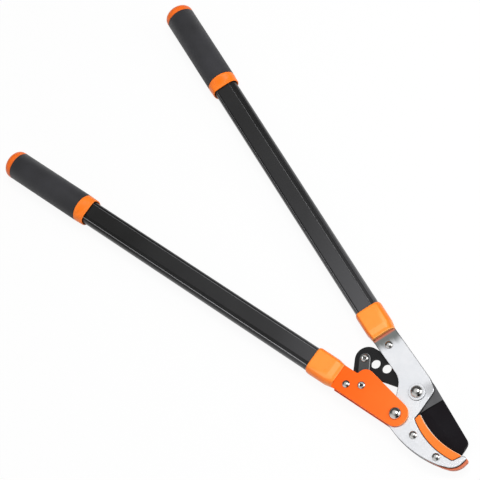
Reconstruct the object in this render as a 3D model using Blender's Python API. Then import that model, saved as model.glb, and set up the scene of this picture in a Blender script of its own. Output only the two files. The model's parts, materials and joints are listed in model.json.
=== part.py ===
"""Ratchet anvil lopper, lying flat with its blade closed on the pad.

The tool's own plane is XY, the jaw points along +X and the blade pivot is the
drawing's origin. Metres throughout.
"""

import math

import bmesh
import bpy
from mathutils import Matrix, Vector

# Fit between neighbouring pieces
GAP = 0.0003

# Thicknesses of the head's layers, from the middle outward
BLADE_T = 0.0050
PLATE_T = 0.0030
LINK_T = 0.0026
LEVER_T = 0.0028
PLATE_IN = BLADE_T / 2 + GAP
PLATE_OUT = PLATE_IN + PLATE_T
LINK_OUT = PLATE_IN + LINK_T
LEVER_IN = max(PLATE_OUT, LINK_OUT) + GAP
LEVER_OUT = LEVER_IN + LEVER_T

# Pivot centres in the closed position
BLADE_PIVOT = (0.0, 0.0)
LEVER_PIVOT = (0.0015, -0.0334)
LINK_PIVOT = (-0.0488, -0.0382)
LINK_PIN = (-0.0706, -0.0147)

# Notches of the blade's tail, counted from its outer end
NOTCH_OUTER = (-0.0714, -0.0151)
NOTCH_PITCH = 0.0140
NOTCH_SLOPE = math.radians(21.0)
NOTCH_COUNT = 3
NOTCH_D = 0.0110

# Handles: half the angle between them and the place where each ferrule starts
HANDLE_ANGLE = math.radians(11.63)
UPPER_START = (-0.1115, 0.0264)
LOWER_START = (-0.1124, -0.0562)
TUBE_BARE = {"upper": 0.3451, "lower": 0.3474}
TUBE_W = 0.0289
TUBE_H = 0.0178
TUBE_WALL = 0.0018
PANEL_INNER = 0.0110
PANEL_OUTER = 0.0050
GROOVE_W = 0.0020
GROOVE_DEPTH = 0.0007
TUBE_IN_FERRULE = 0.0245
POCKET_EASE = 0.0010

# Ferrules
FERRULE_L = 0.0363
FERRULE_W = 0.0326
FERRULE_H = 0.0226
FERRULE_END_W = 0.0288
FERRULE_END_H = 0.0212
FERRULE_TAPER = 0.0110

# Grips
RING_L = 0.0131
RING_END_W = 0.0344
RING_END_H = 0.0228
RING_MOUTH = 0.0012
SLEEVE_L = 0.1097
SLEEVE_D = 0.0352
SLEEVE_WALL = 0.0018
CAP_L = 0.0135
CAP_BAND = 0.0030
CAP_PLUG = 0.0100
TUBE_END_SHORT = 0.0010

# Fasteners
PIVOT_SHANK_R = 0.0050
PIVOT_HEAD_R = 0.0068
PIVOT_HEAD_H = 0.0042
WASHER_R = 0.0096
WASHER_T = 0.0012
NUT_FLATS = 0.0170
NUT_T = 0.0065
BOLT_END = 0.0015
RIVET_SHANK_R = 0.0025
RIVET_HEAD_R = 0.0044
RIVET_HEAD_H = 0.0024
HOLLOW_SHANK_R = 0.0030
HOLLOW_HEAD_R = 0.0043
HOLLOW_HEAD_H = 0.0016
HOLLOW_BORE_R = 0.0013
PIN_R = 0.0039
PIN_NECK_R = 0.0027
SPACER_R = 0.0080

# Rivet places on the anvil plates and the lever plates
ANVIL_TANG_RIVET = (-0.0621, 0.0148)
PAD_RIVET_INNER = (0.0322, -0.0358)
PAD_RIVET_OUTER = (0.0676, -0.0348)
LEVER_TANG_RIVET = (-0.0623, -0.0494)

# Cutting edge and the pad under it
EDGE_HEEL = (0.0184, -0.0135)
EDGE_BELLY = (0.0500, -0.0197)
EDGE_TIP = (0.0846, -0.0139)
EDGE_T = 0.0004
GRIND_W = 0.0085
GRIND_RUN_OUT = math.radians(5.0)
PAD_ROUND = 0.0008

# Plates, lever and link outlines
PLATE_HALF_W = 0.0142
TANG_INNER = 0.0105
TANG_OUTER = 0.0085
NECK_INNER = 0.0120
NECK_OUTER = 0.0106
TANG_DEPTH = 0.0150
JAW_END_R = 0.0142
LEVER_END_R = 0.0143
LEVER_HALF_W = 0.0136
LEVER_TANG_INNER = 0.0115
LEVER_TANG_OUTER = 0.0088
BUMP_R = 0.0105
LINK_R = 0.0062
PLUG_DEPTH = 0.0200
PLATE_EDGE = 0.0004
BLADE_EDGE = 0.0003

# Corners of the anvil plate from its neck round the jaw, with their radii where rounded
NECK_HOLLOW = (-0.0255, -0.0032, 0.0220)
JAW_BACK = (-0.0205, 0.0120)
BELLY_START = 0.0040
BELLY_LOW = (0.0400, -0.0489)
BELLY_END = (0.0760, -0.0391)
NOSE_LOW = (0.0923, -0.0294, 0.0170)
NOSE_TOP = (0.0926, -0.0112, 0.0030)
NOSE_STEP = (0.0869, -0.0131, 0.0010)
SEAT_TOE = (0.0827, -0.0257, 0.0040)
SEAT_END = (0.0790, -0.0263)
SEAT_MID = (0.0500, -0.0296)
SEAT_START = (0.0196, -0.0223)
JAW_HEEL = (0.0190, -0.0150, 0.0020)
JAW_FRONT = (0.0128, 0.0150, 0.0075)
JAW_TOP = (-0.0020, 0.0212, 0.0100)

# Corners of the pad's lip and of its web
LIP_HEEL = (0.0202, -0.0142)
LIP_END = (0.0858, -0.0137)
LIP_TOE = (0.0862, -0.0140)
LIP_LOW = (0.0823, -0.0254, 0.0035)
LIP_BACK = (0.0202, -0.0219, 0.0012)
WEB_START = (0.0210, -0.0160)
WEB_END = (0.0835, -0.0160)
WEB_TOE = (0.0880, -0.0139, 0.0020)
WEB_NOSE = (0.0950, -0.0114, 0.0028)
WEB_LOW = (0.0950, -0.0300, 0.0180)
WEB_BULGE = (0.0788, -0.0386, 0.0300)
WEB_BELLY = (0.0580, -0.0454, 0.0400)
WEB_BACK = (0.0340, -0.0440, 0.0120)
WEB_HEEL = (0.0215, -0.0330, 0.0080)

# Corners of the blade from its tip round its back and tail
BLADE_NOSE = (0.0802, 0.0012, 0.0080)
BLADE_BACK = (0.0025, 0.0202, 0.0180)
TAIL_TOP = (-0.0954, -0.0044, 0.0150)
TAIL_LOW = (-0.0660, -0.0382, 0.0070)
TAIL_HOLLOW = (-0.0411, -0.0198, 0.0200)
TAIL_STEP = (-0.0200, -0.0101, 0.0040)
ROOT_LOW = (-0.0135, -0.0165, 0.0080)
ROOT_FRONT = (0.0060, -0.0212, 0.0120)

# Lever plate: how far its bump reaches past the link pivot, and where the bump starts
BUMP_REACH = 0.0136
BUMP_START = 0.0540

ARC_STEP = math.radians(18.0)
SIDE_STEPS = 5
PANEL_STEPS = 3

BODY_AXIS = {
    "anvil": (0.0, 0.0),
    "blade": BLADE_PIVOT,
    "lever": LEVER_PIVOT,
    "link": LINK_PIVOT,
}

FINISHES = {
    "orange_plastic": ((0.95, 0.19, 0.03), 0.42, 0.0),
    "orange_paint": ((0.93, 0.15, 0.015), 0.35, 0.0),
    "black_rubber": ((0.035, 0.035, 0.038), 0.75, 0.0),
    "black_tube": ((0.022, 0.022, 0.024), 0.32, 0.4),
    "plated_steel": ((0.80, 0.81, 0.83), 0.22, 1.0),
    "rivet_steel": ((0.72, 0.72, 0.73), 0.15, 1.0),
    "coated_blade": ((0.020, 0.019, 0.020), 0.45, 0.2),
    "link_steel": ((0.13, 0.135, 0.14), 0.40, 0.8),
}


# Scene and materials

def clear_scene():
    for old in list(bpy.data.objects):
        bpy.data.objects.remove(old, do_unlink=True)


def finish(name, slot):
    colour, rough, metal = FINISHES[slot]
    mat = bpy.data.materials.new(name + "_finish")
    mat.use_nodes = True
    bsdf = mat.node_tree.nodes["Principled BSDF"]
    bsdf.inputs["Base Color"].default_value = (*colour, 1.0)
    bsdf.inputs["Roughness"].default_value = rough
    bsdf.inputs["Metallic"].default_value = metal
    return mat


def make_axes():
    """One empty on each joint's axis; the link's rides on the lever's."""
    axes = {}
    for body, place in BODY_AXIS.items():
        empty = bpy.data.objects.new(body + "_axis", None)
        bpy.context.collection.objects.link(empty)
        axes[body] = empty
        if body == "anvil":
            continue
        parent = "lever" if body == "link" else "anvil"
        base = BODY_AXIS[parent]
        empty.parent = axes[parent]
        empty.location = (place[0] - base[0], place[1] - base[1], 0.0)
    return axes


# Outlines in the tool's plane

def rounded(corners):
    """Closed outline of (x, y, radius) corners, each turned into an arc."""
    out = []
    count = len(corners)
    for i, (x, y, radius) in enumerate(corners):
        here = Vector((x, y))
        if radius <= 0.0:
            out.append((x, y))
            continue
        before = (Vector(corners[i - 1][:2]) - here).normalized()
        after = (Vector(corners[(i + 1) % count][:2]) - here).normalized()
        half = before.angle(after) / 2
        centre = here + (before + after).normalized() * (radius / math.sin(half))
        reach = radius / math.tan(half)
        first = here + before * reach - centre
        turn = first.angle_signed(here + after * reach - centre)
        steps = max(1, math.ceil(abs(turn) / ARC_STEP))
        for k in range(steps + 1):
            angle = turn * k / steps
            spun = Matrix.Rotation(-angle, 2) @ first
            out.append(tuple(centre + spun))
    return out


def circle_through(p, q, r):
    """Centre and radius of the circle through three points."""
    (ax, ay), (bx, by), (cx, cy) = p, q, r
    d = 2 * (ax * (by - cy) + bx * (cy - ay) + cx * (ay - by))
    aa, bb, cc = ax * ax + ay * ay, bx * bx + by * by, cx * cx + cy * cy
    ux = (aa * (by - cy) + bb * (cy - ay) + cc * (ay - by)) / d
    uy = (aa * (cx - bx) + bb * (ax - cx) + cc * (bx - ax)) / d
    return (ux, uy), math.dist((ux, uy), p)


def arc(centre, radius, start, end, steps):
    """Points on a circle between the directions of two points."""
    a0 = math.atan2(start[1] - centre[1], start[0] - centre[0])
    a1 = math.atan2(end[1] - centre[1], end[0] - centre[0])
    points = []
    for k in range(steps + 1):
        a = a0 + (a1 - a0) * k / steps
        points.append((centre[0] + radius * math.cos(a), centre[1] + radius * math.sin(a)))
    return points


def sharp(points):
    return [(x, y, 0.0) for x, y in points]


EDGE_CENTRE, EDGE_RADIUS = circle_through(EDGE_HEEL, EDGE_BELLY, EDGE_TIP)
SEAT_CENTRE, SEAT_RADIUS = circle_through(SEAT_START, SEAT_MID, SEAT_END)


def on_handle(side, along, across):
    """Plane point from a distance along a handle and one outward from its axis."""
    start, sign = (UPPER_START, 1.0) if side == "upper" else (LOWER_START, -1.0)
    c, s = math.cos(HANDLE_ANGLE), math.sin(HANDLE_ANGLE)
    return (start[0] + along * c + across * s, start[1] + sign * (across * c - along * s))


def handle_matrix(side):
    start, sign = (UPPER_START, 1.0) if side == "upper" else (LOWER_START, -1.0)
    c, s = math.cos(HANDLE_ANGLE), math.sin(HANDLE_ANGLE)
    return Matrix((
        (c, s, 0.0, start[0]),
        (-sign * s, sign * c, 0.0, start[1]),
        (0.0, 0.0, 1.0, 0.0),
        (0.0, 0.0, 0.0, 1.0),
    ))


# Solids

def add_object(name, mesh, body, slot, place=(0.0, 0.0)):
    obj = bpy.data.objects.new(name, mesh)
    bpy.context.collection.objects.link(obj)
    obj.parent = AXES[body]
    axis = BODY_AXIS[body]
    obj.location = (place[0] - axis[0], place[1] - axis[1], 0.0)
    if slot is None:
        obj.hide_render = True
        obj.display_type = "WIRE"
    else:
        mesh.materials.append(finish(name, slot))
    return obj


def mesh_of(name, bm, smooth):
    bmesh.ops.recalc_face_normals(bm, faces=bm.faces)
    for face in bm.faces:
        face.smooth = smooth
    mesh = bpy.data.meshes.new(name)
    bm.to_mesh(mesh)
    bm.free()
    return mesh


def slab(name, outline, low, high, body, slot, bevel=0.0):
    """Plate between two heights, its drawing in the tool's plane."""
    axis = BODY_AXIS[body]
    bm = bmesh.new()
    verts = [bm.verts.new((x - axis[0], y - axis[1], low)) for x, y in outline]
    bm.faces.new(verts)
    bmesh.ops.remove_doubles(bm, verts=bm.verts, dist=1e-6)
    top = bmesh.ops.extrude_face_region(bm, geom=bm.faces[:])
    moved = [v for v in top["geom"] if isinstance(v, bmesh.types.BMVert)]
    bmesh.ops.translate(bm, verts=moved, vec=(0.0, 0.0, high - low))
    obj = add_object(name, mesh_of(name, bm, False), body, slot, axis)
    if bevel > 0.0:
        mod = obj.modifiers.new("edge", "BEVEL")
        mod.width = bevel
        mod.segments = 1
        mod.limit_method = "ANGLE"
        mod.angle_limit = math.radians(40)
    return obj


def combine(obj, cutter, operation):
    mod = obj.modifiers.new(operation.lower(), "BOOLEAN")
    mod.operation = operation
    mod.solver = "EXACT"
    mod.object = cutter


def drill(obj, body, holes, reach=0.03, steps=16):
    """Round holes through a piece, all cut by one tool of several cylinders."""
    axis = BODY_AXIS[body]
    bm = bmesh.new()
    for (x, y), radius in holes:
        spot = Matrix.Translation((x - axis[0], y - axis[1], 0.0))
        bmesh.ops.create_cone(
            bm, cap_ends=True, segments=steps, radius1=radius, radius2=radius,
            depth=2 * reach, matrix=spot,
        )
    name = obj.name + "_drill"
    cutter = add_object(name, mesh_of(name, bm, False), body, None, axis)
    combine(obj, cutter, "DIFFERENCE")


def revolve(name, profile, place, body, slot, steps=16, closed=False):
    """Turned piece: a profile at +X spun about an upright axis."""
    mesh = bpy.data.meshes.new(name)
    count = len(profile)
    edges = [(i, i + 1) for i in range(count - 1)]
    if closed:
        edges.append((count - 1, 0))
    mesh.from_pydata([(r, 0.0, z) for r, z in profile], edges, [])
    obj = add_object(name, mesh, body, slot, place)
    mod = obj.modifiers.new("turn", "SCREW")
    mod.steps = steps
    mod.render_steps = steps
    mod.use_merge_vertices = True
    mod.merge_threshold = 0.00001
    mod.use_smooth_shade = True
    return obj


def skin(name, rings, body, slot, matrix, closed, smooth=True):
    """Solid from rings of equal count; a closed run of rings leaves a bore."""
    bm = bmesh.new()
    rows = [[bm.verts.new(p) for p in ring] for ring in rings]
    pairs = list(zip(rows, rows[1:]))
    if closed:
        pairs.append((rows[-1], rows[0]))
    size = len(rows[0])
    for low, high in pairs:
        for i in range(size):
            j = (i + 1) % size
            bm.faces.new((low[i], low[j], high[j], high[i]))
    if not closed:
        bm.faces.new(rows[0])
        bm.faces.new(rows[-1])
    axis = BODY_AXIS[body]
    bmesh.ops.transform(bm, matrix=Matrix.Translation((-axis[0], -axis[1], 0)) @ matrix,
                        verts=bm.verts)
    return add_object(name, mesh_of(name, bm, smooth), body, slot, axis)


# Cross-sections of the handle, as (outward, height) points

def section(half_w, half_h, inner, outer, groove=0.0, power=2.0):
    """Flat panels front and back, a tight inner side and a fuller outer side."""
    top = []
    for k in range(SIDE_STEPS + 1):
        t = math.pi / 2 * k / SIDE_STEPS
        bulge = (half_w - outer) * max(math.cos(t), 0.0) ** (2 / power)
        top.append((outer + bulge, half_h * math.sin(t) ** (2 / power)))
    top.append((outer - GROOVE_W / 2, half_h - groove))
    top.append((outer - GROOVE_W, half_h))
    near, far = outer - GROOVE_W, -inner + GROOVE_W
    for k in range(1, PANEL_STEPS):
        top.append((near + (far - near) * k / PANEL_STEPS, half_h))
    top.append((far, half_h))
    top.append((far - GROOVE_W / 2, half_h - groove))
    for k in range(SIDE_STEPS, -1, -1):
        t = math.pi / 2 * k / SIDE_STEPS
        bulge = (half_w - inner) * max(math.cos(t), 0.0) ** (2 / power)
        top.append((-inner - bulge, half_h * math.sin(t) ** (2 / power)))
    return top + [(n, -z) for n, z in reversed(top[1:-1])]


def tube_outline(grow=0.0, groove=0.0):
    """The tube's outline, or one that clears it by a distance."""
    return section(TUBE_W / 2 + grow, TUBE_H / 2 + grow, PANEL_INNER, PANEL_OUTER, groove)


def bore_outline(shrink=0.0):
    cut = TUBE_WALL + shrink
    return section(TUBE_W / 2 - cut, TUBE_H / 2 - cut, PANEL_INNER - cut / 2, PANEL_OUTER - cut / 2)


def turned(radius):
    """Round outline with one point opposite each point of the tube's outline."""
    around = [math.atan2(z, n) for n, z in tube_outline()]
    return [(radius * math.cos(a), radius * math.sin(a)) for a in around]


def blend(first, second, share):
    return [(a + (c - a) * share, b + (d - b) * share)
            for (a, b), (c, d) in zip(first, second)]


def at(along, outline):
    return [(along, n, z) for n, z in outline]


# Handle pieces, made alike for both sides

def grip_places(side):
    ring_end = -TUBE_BARE[side]
    sleeve_start = ring_end - RING_L
    sleeve_end = sleeve_start - SLEEVE_L
    return ring_end, sleeve_start, sleeve_end


def make_tube(side, body):
    sleeve_end = grip_places(side)[2]
    back = sleeve_end + TUBE_END_SHORT
    outer = tube_outline(groove=GROOVE_DEPTH)
    inner = bore_outline()
    rings = [at(back, outer), at(TUBE_IN_FERRULE, outer), at(TUBE_IN_FERRULE, inner), at(back, inner)]
    skin(side + "_tube", rings, body, "black_tube", handle_matrix(side), True, smooth=False)


def ferrule_outline(width, height):
    return section(width / 2, height / 2, PANEL_INNER, PANEL_OUTER, power=2.4)


def make_ferrule(side, body, slot_in, slot_out, slot_h):
    """Moulded sleeve over the tube's end, closed in front to a slot for the plates."""
    bore = tube_outline(grow=GAP)
    mid = (slot_out - slot_in) / 2
    half = (slot_out + slot_in) / 2 + 2 * GAP
    slot = section(half, slot_h + GAP, half - 2 * GAP, half - 2 * GAP, power=8.0)
    slot = [(n + mid, z) for n, z in slot]
    wide = ferrule_outline(FERRULE_W, FERRULE_H)
    rim = blend(wide, bore, 0.45)
    end = ferrule_outline(FERRULE_END_W, FERRULE_END_H)
    lip = TUBE_IN_FERRULE + GAP
    rings = [
        at(0.0, rim),
        at(0.0012, blend(wide, rim, 0.42)),
        at(0.0036, wide),
        at(FERRULE_L - FERRULE_TAPER, wide),
        at(FERRULE_L - FERRULE_TAPER * 0.55, blend(wide, end, 0.30)),
        at(FERRULE_L - FERRULE_TAPER * 0.20, blend(wide, end, 0.78)),
        at(FERRULE_L, end),
        at(FERRULE_L, slot),
        at(lip + POCKET_EASE, slot),
        at(lip, bore),
        at(0.0, bore),
    ]
    skin(side + "_ferrule", rings, body, "orange_plastic", handle_matrix(side), True)


def make_grip_core(side, body):
    """Orange moulding: a sleeve on the tube that ends in the visible ring."""
    ring_end, sleeve_start, sleeve_end = grip_places(side)
    under = turned(SLEEVE_D / 2 - SLEEVE_WALL - GAP)
    full = turned(SLEEVE_D / 2)
    flat = section(RING_END_W / 2, RING_END_H / 2, PANEL_INNER, PANEL_OUTER)
    mouth = tube_outline(grow=RING_MOUTH)
    rings = [
        at(sleeve_end + GAP, under),
        at(sleeve_start, under),
        at(sleeve_start, full),
        at(sleeve_start + 0.0030, blend(full, flat, 0.10)),
        at(sleeve_start + 0.0070, blend(full, flat, 0.45)),
        at(ring_end - 0.0012, blend(full, flat, 0.93)),
        at(ring_end, blend(flat, mouth, 0.30)),
        at(ring_end, mouth),
        at(ring_end - 0.0040, tube_outline(grow=GAP)),
        at(sleeve_end + GAP, tube_outline(grow=GAP)),
    ]
    skin(side + "_grip_core", rings, body, "orange_plastic", handle_matrix(side), True)


def make_sleeve(side, body, steps=40):
    sleeve_start, sleeve_end = grip_places(side)[1:]
    low, high = sleeve_end + GAP, sleeve_start - GAP
    outer, inner = SLEEVE_D / 2, SLEEVE_D / 2 - SLEEVE_WALL
    ease = SLEEVE_WALL / 4
    profile = [
        (low, outer - ease), (low + ease, outer), (high - ease, outer),
        (high, outer - ease), (high, inner), (low, inner),
    ]
    spins = [2 * math.pi * k / steps for k in range(steps)]
    rings = [[(s, r * math.cos(a), r * math.sin(a)) for a in spins] for s, r in profile]
    skin(side + "_grip_sleeve", rings, body, "black_rubber", handle_matrix(side), True)


def make_cap(side, body, steps=5):
    """Domed plug: a stub in the tube's bore and a cap as wide as the sleeve."""
    start = grip_places(side)[2]
    plug = bore_outline(shrink=GAP)
    radius = SLEEVE_D / 2
    band = start - CAP_BAND
    rise = CAP_L - CAP_BAND
    rings = [at(start + CAP_PLUG, plug), at(start, plug), at(start, turned(radius)),
             at(band, turned(radius))]
    for k in range(1, steps):
        t = math.pi / 2 * k / steps
        rings.append(at(band - rise * math.sin(t), turned(radius * math.cos(t) ** 0.75)))
    skin(side + "_end_cap", rings, body, "orange_plastic", handle_matrix(side), False)


# Head plates

def plate_outline():
    """Anvil plate: tang, neck, pivot area, jaw with the pad's seat, nose."""
    top = LEVER_PIVOT[1]
    left = LEVER_PIVOT[0] - JAW_END_R
    low = top - JAW_END_R
    shoulder = FERRULE_L + GAP
    lx, ly = on_handle("upper", shoulder, -PLATE_HALF_W)
    hx, hy = on_handle("upper", shoulder, PLATE_HALF_W)
    seat_low = arc(SEAT_CENTRE, SEAT_RADIUS, SEAT_END, SEAT_START, 9)
    belly_c, belly_r = circle_through((BELLY_START, low), BELLY_LOW, BELLY_END)
    belly = arc(belly_c, belly_r, (BELLY_START, low), BELLY_END, 7)
    tube_face = TUBE_IN_FERRULE + POCKET_EASE + 2 * GAP
    corners = [
        (*on_handle("upper", -TANG_DEPTH, -TANG_INNER), 0.0),
        (*on_handle("upper", tube_face, -TANG_INNER), 0.0),
        (*on_handle("upper", tube_face, -NECK_INNER), 0.0),
        (*on_handle("upper", shoulder, -NECK_INNER), 0.0),
        (lx, ly, 0.0008),
        NECK_HOLLOW,
        (left, *JAW_BACK),
        (left, low, JAW_END_R * 0.98),
        *sharp(belly),
        NOSE_LOW,
        NOSE_TOP,
        NOSE_STEP,
        SEAT_TOE,
        *sharp(seat_low),
        JAW_HEEL,
        JAW_FRONT,
        JAW_TOP,
        (hx, hy, 0.0008),
        (*on_handle("upper", shoulder, NECK_OUTER), 0.0),
        (*on_handle("upper", tube_face, NECK_OUTER), 0.0),
        (*on_handle("upper", tube_face, TANG_OUTER), 0.0),
        (*on_handle("upper", -TANG_DEPTH, TANG_OUTER), 0.0),
    ]
    return rounded(corners)


def make_anvil_plates():
    holes = [
        (BLADE_PIVOT, PIVOT_SHANK_R + GAP),
        (LEVER_PIVOT, PIVOT_SHANK_R + GAP),
        (ANVIL_TANG_RIVET, RIVET_SHANK_R + GAP),
        (PAD_RIVET_INNER, RIVET_SHANK_R + GAP),
        (PAD_RIVET_OUTER, RIVET_SHANK_R + GAP),
    ]
    outline = plate_outline()
    for name, low, high in (("anvil_plate_front", PLATE_IN, PLATE_OUT),
                            ("anvil_plate_back", -PLATE_OUT, -PLATE_IN)):
        obj = slab(name, outline, low, high, "anvil", "plated_steel", PLATE_EDGE)
        drill(obj, "anvil", holes)


def make_tang_spacer():
    """Bar between the anvil plates, from inside the tube to the tang rivet."""
    half = BLADE_T / 2
    rx, ry = ANVIL_TANG_RIVET
    corners = [
        (*on_handle("upper", -TANG_DEPTH, -TANG_INNER + GAP), 0.0),
        (*on_handle("upper", FERRULE_L, -TANG_INNER + GAP), 0.002),
        (rx + 0.002, ry - 0.0085, 0.007),
        (rx + 0.0095, ry + 0.004, 0.006),
        (*on_handle("upper", FERRULE_L, TANG_OUTER - GAP), 0.010),
        (*on_handle("upper", -TANG_DEPTH, TANG_OUTER - GAP), 0.0),
    ]
    obj = slab("anvil_tang_spacer", rounded(corners), -half, half, "anvil", "link_steel")
    drill(obj, "anvil", [(ANVIL_TANG_RIVET, RIVET_SHANK_R + GAP)])


def make_pad():
    """Anvil pad: a lip as deep as both plates on a web that runs between them."""
    top_r = EDGE_RADIUS + GAP
    heel_low = (LIP_BACK[0] + 1.5 * LIP_BACK[2], LIP_BACK[1])
    top_edge = arc(EDGE_CENTRE, top_r, LIP_HEEL, LIP_END, 12)
    low_edge = arc(SEAT_CENTRE, SEAT_RADIUS - GAP, SEAT_END, heel_low, 9)
    lip = rounded([*sharp(top_edge), (*LIP_TOE, 0.0), LIP_LOW, *sharp(low_edge), LIP_BACK])
    under_edge = arc(EDGE_CENTRE, top_r + 2 * PAD_ROUND, WEB_START, WEB_END, 12)
    web = rounded([
        *sharp(under_edge),
        WEB_TOE,
        WEB_NOSE,
        WEB_LOW,
        WEB_BULGE,
        WEB_BELLY,
        WEB_BACK,
        WEB_HEEL,
    ])
    half = BLADE_T / 2
    pad = slab("anvil_pad", web, -half, half, "anvil", "orange_plastic", 0.0)
    lip_tool = slab("anvil_pad_lip", lip, -PLATE_OUT, PLATE_OUT, "anvil", None, PAD_ROUND)
    combine(pad, lip_tool, "UNION")
    drill(pad, "anvil", [(PAD_RIVET_INNER, RIVET_SHANK_R + GAP),
                         (PAD_RIVET_OUTER, RIVET_SHANK_R + GAP)])


# Blade with its ground edge and notched tail

def notch_places():
    x, y = NOTCH_OUTER
    dx, dy = NOTCH_PITCH * math.cos(NOTCH_SLOPE), NOTCH_PITCH * math.sin(NOTCH_SLOPE)
    return [(x + dx * k, y + dy * k) for k in range(NOTCH_COUNT)]


def blade_outline():
    edge = arc(EDGE_CENTRE, EDGE_RADIUS, EDGE_HEEL, EDGE_TIP, 14)
    return rounded([
        *sharp(edge),
        BLADE_NOSE,
        BLADE_BACK,
        TAIL_TOP,
        TAIL_LOW,
        TAIL_HOLLOW,
        TAIL_STEP,
        ROOT_LOW,
        ROOT_FRONT,
    ])


def grind_profile(share):
    """Cut across the edge as (radius, height) points; a smaller share is shallower."""
    slope = (BLADE_T - EDGE_T) / 2 / GRIND_W
    tall = BLADE_T
    face = BLADE_T / 2 + GAP
    land = face + (EDGE_T / 2 - face) * (1 - (1 - share) ** 2)
    clear = EDGE_RADIUS + GRIND_W * 1.5
    return [
        (EDGE_RADIUS - (tall - land) / slope, tall),
        (EDGE_RADIUS, land),
        (clear, land),
        (clear, tall),
    ]


def grind_cutter(side):
    """Hollow grind along the curved edge, running out into the blade past its heel."""
    heel = math.atan2(EDGE_HEEL[1] - EDGE_CENTRE[1], EDGE_HEEL[0] - EDGE_CENTRE[0])
    tip = math.atan2(EDGE_TIP[1] - EDGE_CENTRE[1], EDGE_TIP[0] - EDGE_CENTRE[0])
    start, end = heel - GRIND_RUN_OUT, tip + GRIND_RUN_OUT
    steps = 30
    axis = BODY_AXIS["blade"]
    bm = bmesh.new()
    rows = []
    for k in range(steps + 1):
        a = start + (end - start) * k / steps
        profile = grind_profile(min(1.0, (a - start) / GRIND_RUN_OUT))
        row = [bm.verts.new((EDGE_CENTRE[0] + r * math.cos(a) - axis[0],
                             EDGE_CENTRE[1] + r * math.sin(a) - axis[1], side * z))
               for r, z in profile]
        rows.append(row)
    for low, high in zip(rows, rows[1:]):
        for i in range(len(low)):
            j = (i + 1) % len(low)
            bm.faces.new((low[i], low[j], high[j], high[i]))
    bm.faces.new(rows[0])
    bm.faces.new(rows[-1])
    name = "blade_grind_front" if side > 0 else "blade_grind_back"
    return add_object(name, mesh_of(name, bm, False), "blade", None, axis)


def make_blade():
    half = BLADE_T / 2
    blade = slab("blade", blade_outline(), -half, half, "blade", "coated_blade", BLADE_EDGE)
    holes = [(BLADE_PIVOT, PIVOT_SHANK_R + GAP)]
    holes += [(spot, NOTCH_D / 2) for spot in notch_places()]
    combine(blade, grind_cutter(1.0), "DIFFERENCE")
    combine(blade, grind_cutter(-1.0), "DIFFERENCE")
    drill(blade, "blade", holes, steps=24)


# Lever plates, links and their block

def lever_outline():
    px, py = LEVER_PIVOT
    top, right = py + LEVER_END_R, px + LEVER_END_R
    outer = ((px - LOWER_START[0]) * math.sin(HANDLE_ANGLE)
             - (py - LOWER_START[1]) * math.cos(HANDLE_ANGLE)) + LEVER_END_R
    c, s = math.cos(HANDLE_ANGLE), math.sin(HANDLE_ANGLE)
    along = (right - LOWER_START[0] - outer * s) / c
    tube_face = TUBE_IN_FERRULE + POCKET_EASE + 2 * GAP
    shoulder = FERRULE_L + GAP
    notch = on_handle("lower", BUMP_START, -LEVER_HALF_W)
    return rounded([
        (*on_handle("lower", tube_face, LEVER_TANG_OUTER), 0.0015),
        (*on_handle("lower", shoulder, LEVER_TANG_OUTER), 0.0),
        (*on_handle("lower", shoulder, outer), 0.0008),
        (*on_handle("lower", along, outer), LEVER_END_R * 0.98),
        (right, top, LEVER_END_R * 0.98),
        (LINK_PIVOT[0] - BUMP_REACH, top - GAP, BUMP_R),
        (*notch, 0.0030),
        (*on_handle("lower", shoulder, -LEVER_HALF_W), 0.0008),
        (*on_handle("lower", shoulder, -LEVER_TANG_INNER), 0.0),
        (*on_handle("lower", tube_face, -LEVER_TANG_INNER), 0.0015),
    ])


def make_lever_plates():
    holes = [
        (LEVER_PIVOT, PIVOT_SHANK_R + GAP),
        (LINK_PIVOT, HOLLOW_SHANK_R + GAP),
        (LEVER_TANG_RIVET, RIVET_SHANK_R + GAP),
    ]
    outline = lever_outline()
    for name, low, high in (("lever_plate_front", LEVER_IN, LEVER_OUT),
                            ("lever_plate_back", -LEVER_OUT, -LEVER_IN)):
        obj = slab(name, outline, low, high, "lever", "orange_paint", PLATE_EDGE)
        drill(obj, "lever", holes)


def make_lever_block():
    """Block between the lever plates with a stub that fills the tube's end."""
    half = LEVER_IN - GAP
    tube_face = TUBE_IN_FERRULE + POCKET_EASE + 2 * GAP
    rx, ry = LEVER_TANG_RIVET
    arm = rounded([
        (*on_handle("lower", 0.0150, -0.0060), 0.0),
        (*on_handle("lower", 0.0150, 0.0040), 0.0),
        (*on_handle("lower", tube_face, 0.0040), 0.0),
        (*on_handle("lower", tube_face, LEVER_TANG_OUTER), 0.001),
        (*on_handle("lower", FERRULE_L + GAP, LEVER_TANG_OUTER), 0.0),
        (rx + 0.0080, ry - 0.0078, 0.004),
        (rx + 0.0068, ry + 0.0052, 0.004),
        (*on_handle("lower", FERRULE_L + 0.0060, -0.0075), 0.003),
        (*on_handle("lower", FERRULE_L, -LEVER_TANG_INNER), 0.002),
        (*on_handle("lower", tube_face, -LEVER_TANG_INNER), 0.001),
        (*on_handle("lower", tube_face, -0.0060), 0.0),
    ])
    block = slab("lever_block", arm, -half, half, "lever", "link_steel")
    stub_outline = bore_outline(shrink=GAP)
    stub = skin("lever_block_stub", [at(-PLUG_DEPTH, stub_outline), at(TUBE_IN_FERRULE, stub_outline)],
                "lever", None, handle_matrix("lower"), False, smooth=False)
    combine(block, stub, "UNION")
    drill(block, "lever", [(LEVER_TANG_RIVET, RIVET_SHANK_R + GAP)])


def link_outline():
    p, q = Vector(LINK_PIVOT), Vector(LINK_PIN)
    way = (q - p).normalized() * LINK_R
    side = Vector((-way.y, way.x))
    ends = [p - way - side, p - way + side, q + way + side, q + way - side]
    return rounded([(v.x, v.y, LINK_R * 0.98) for v in ends])


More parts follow.
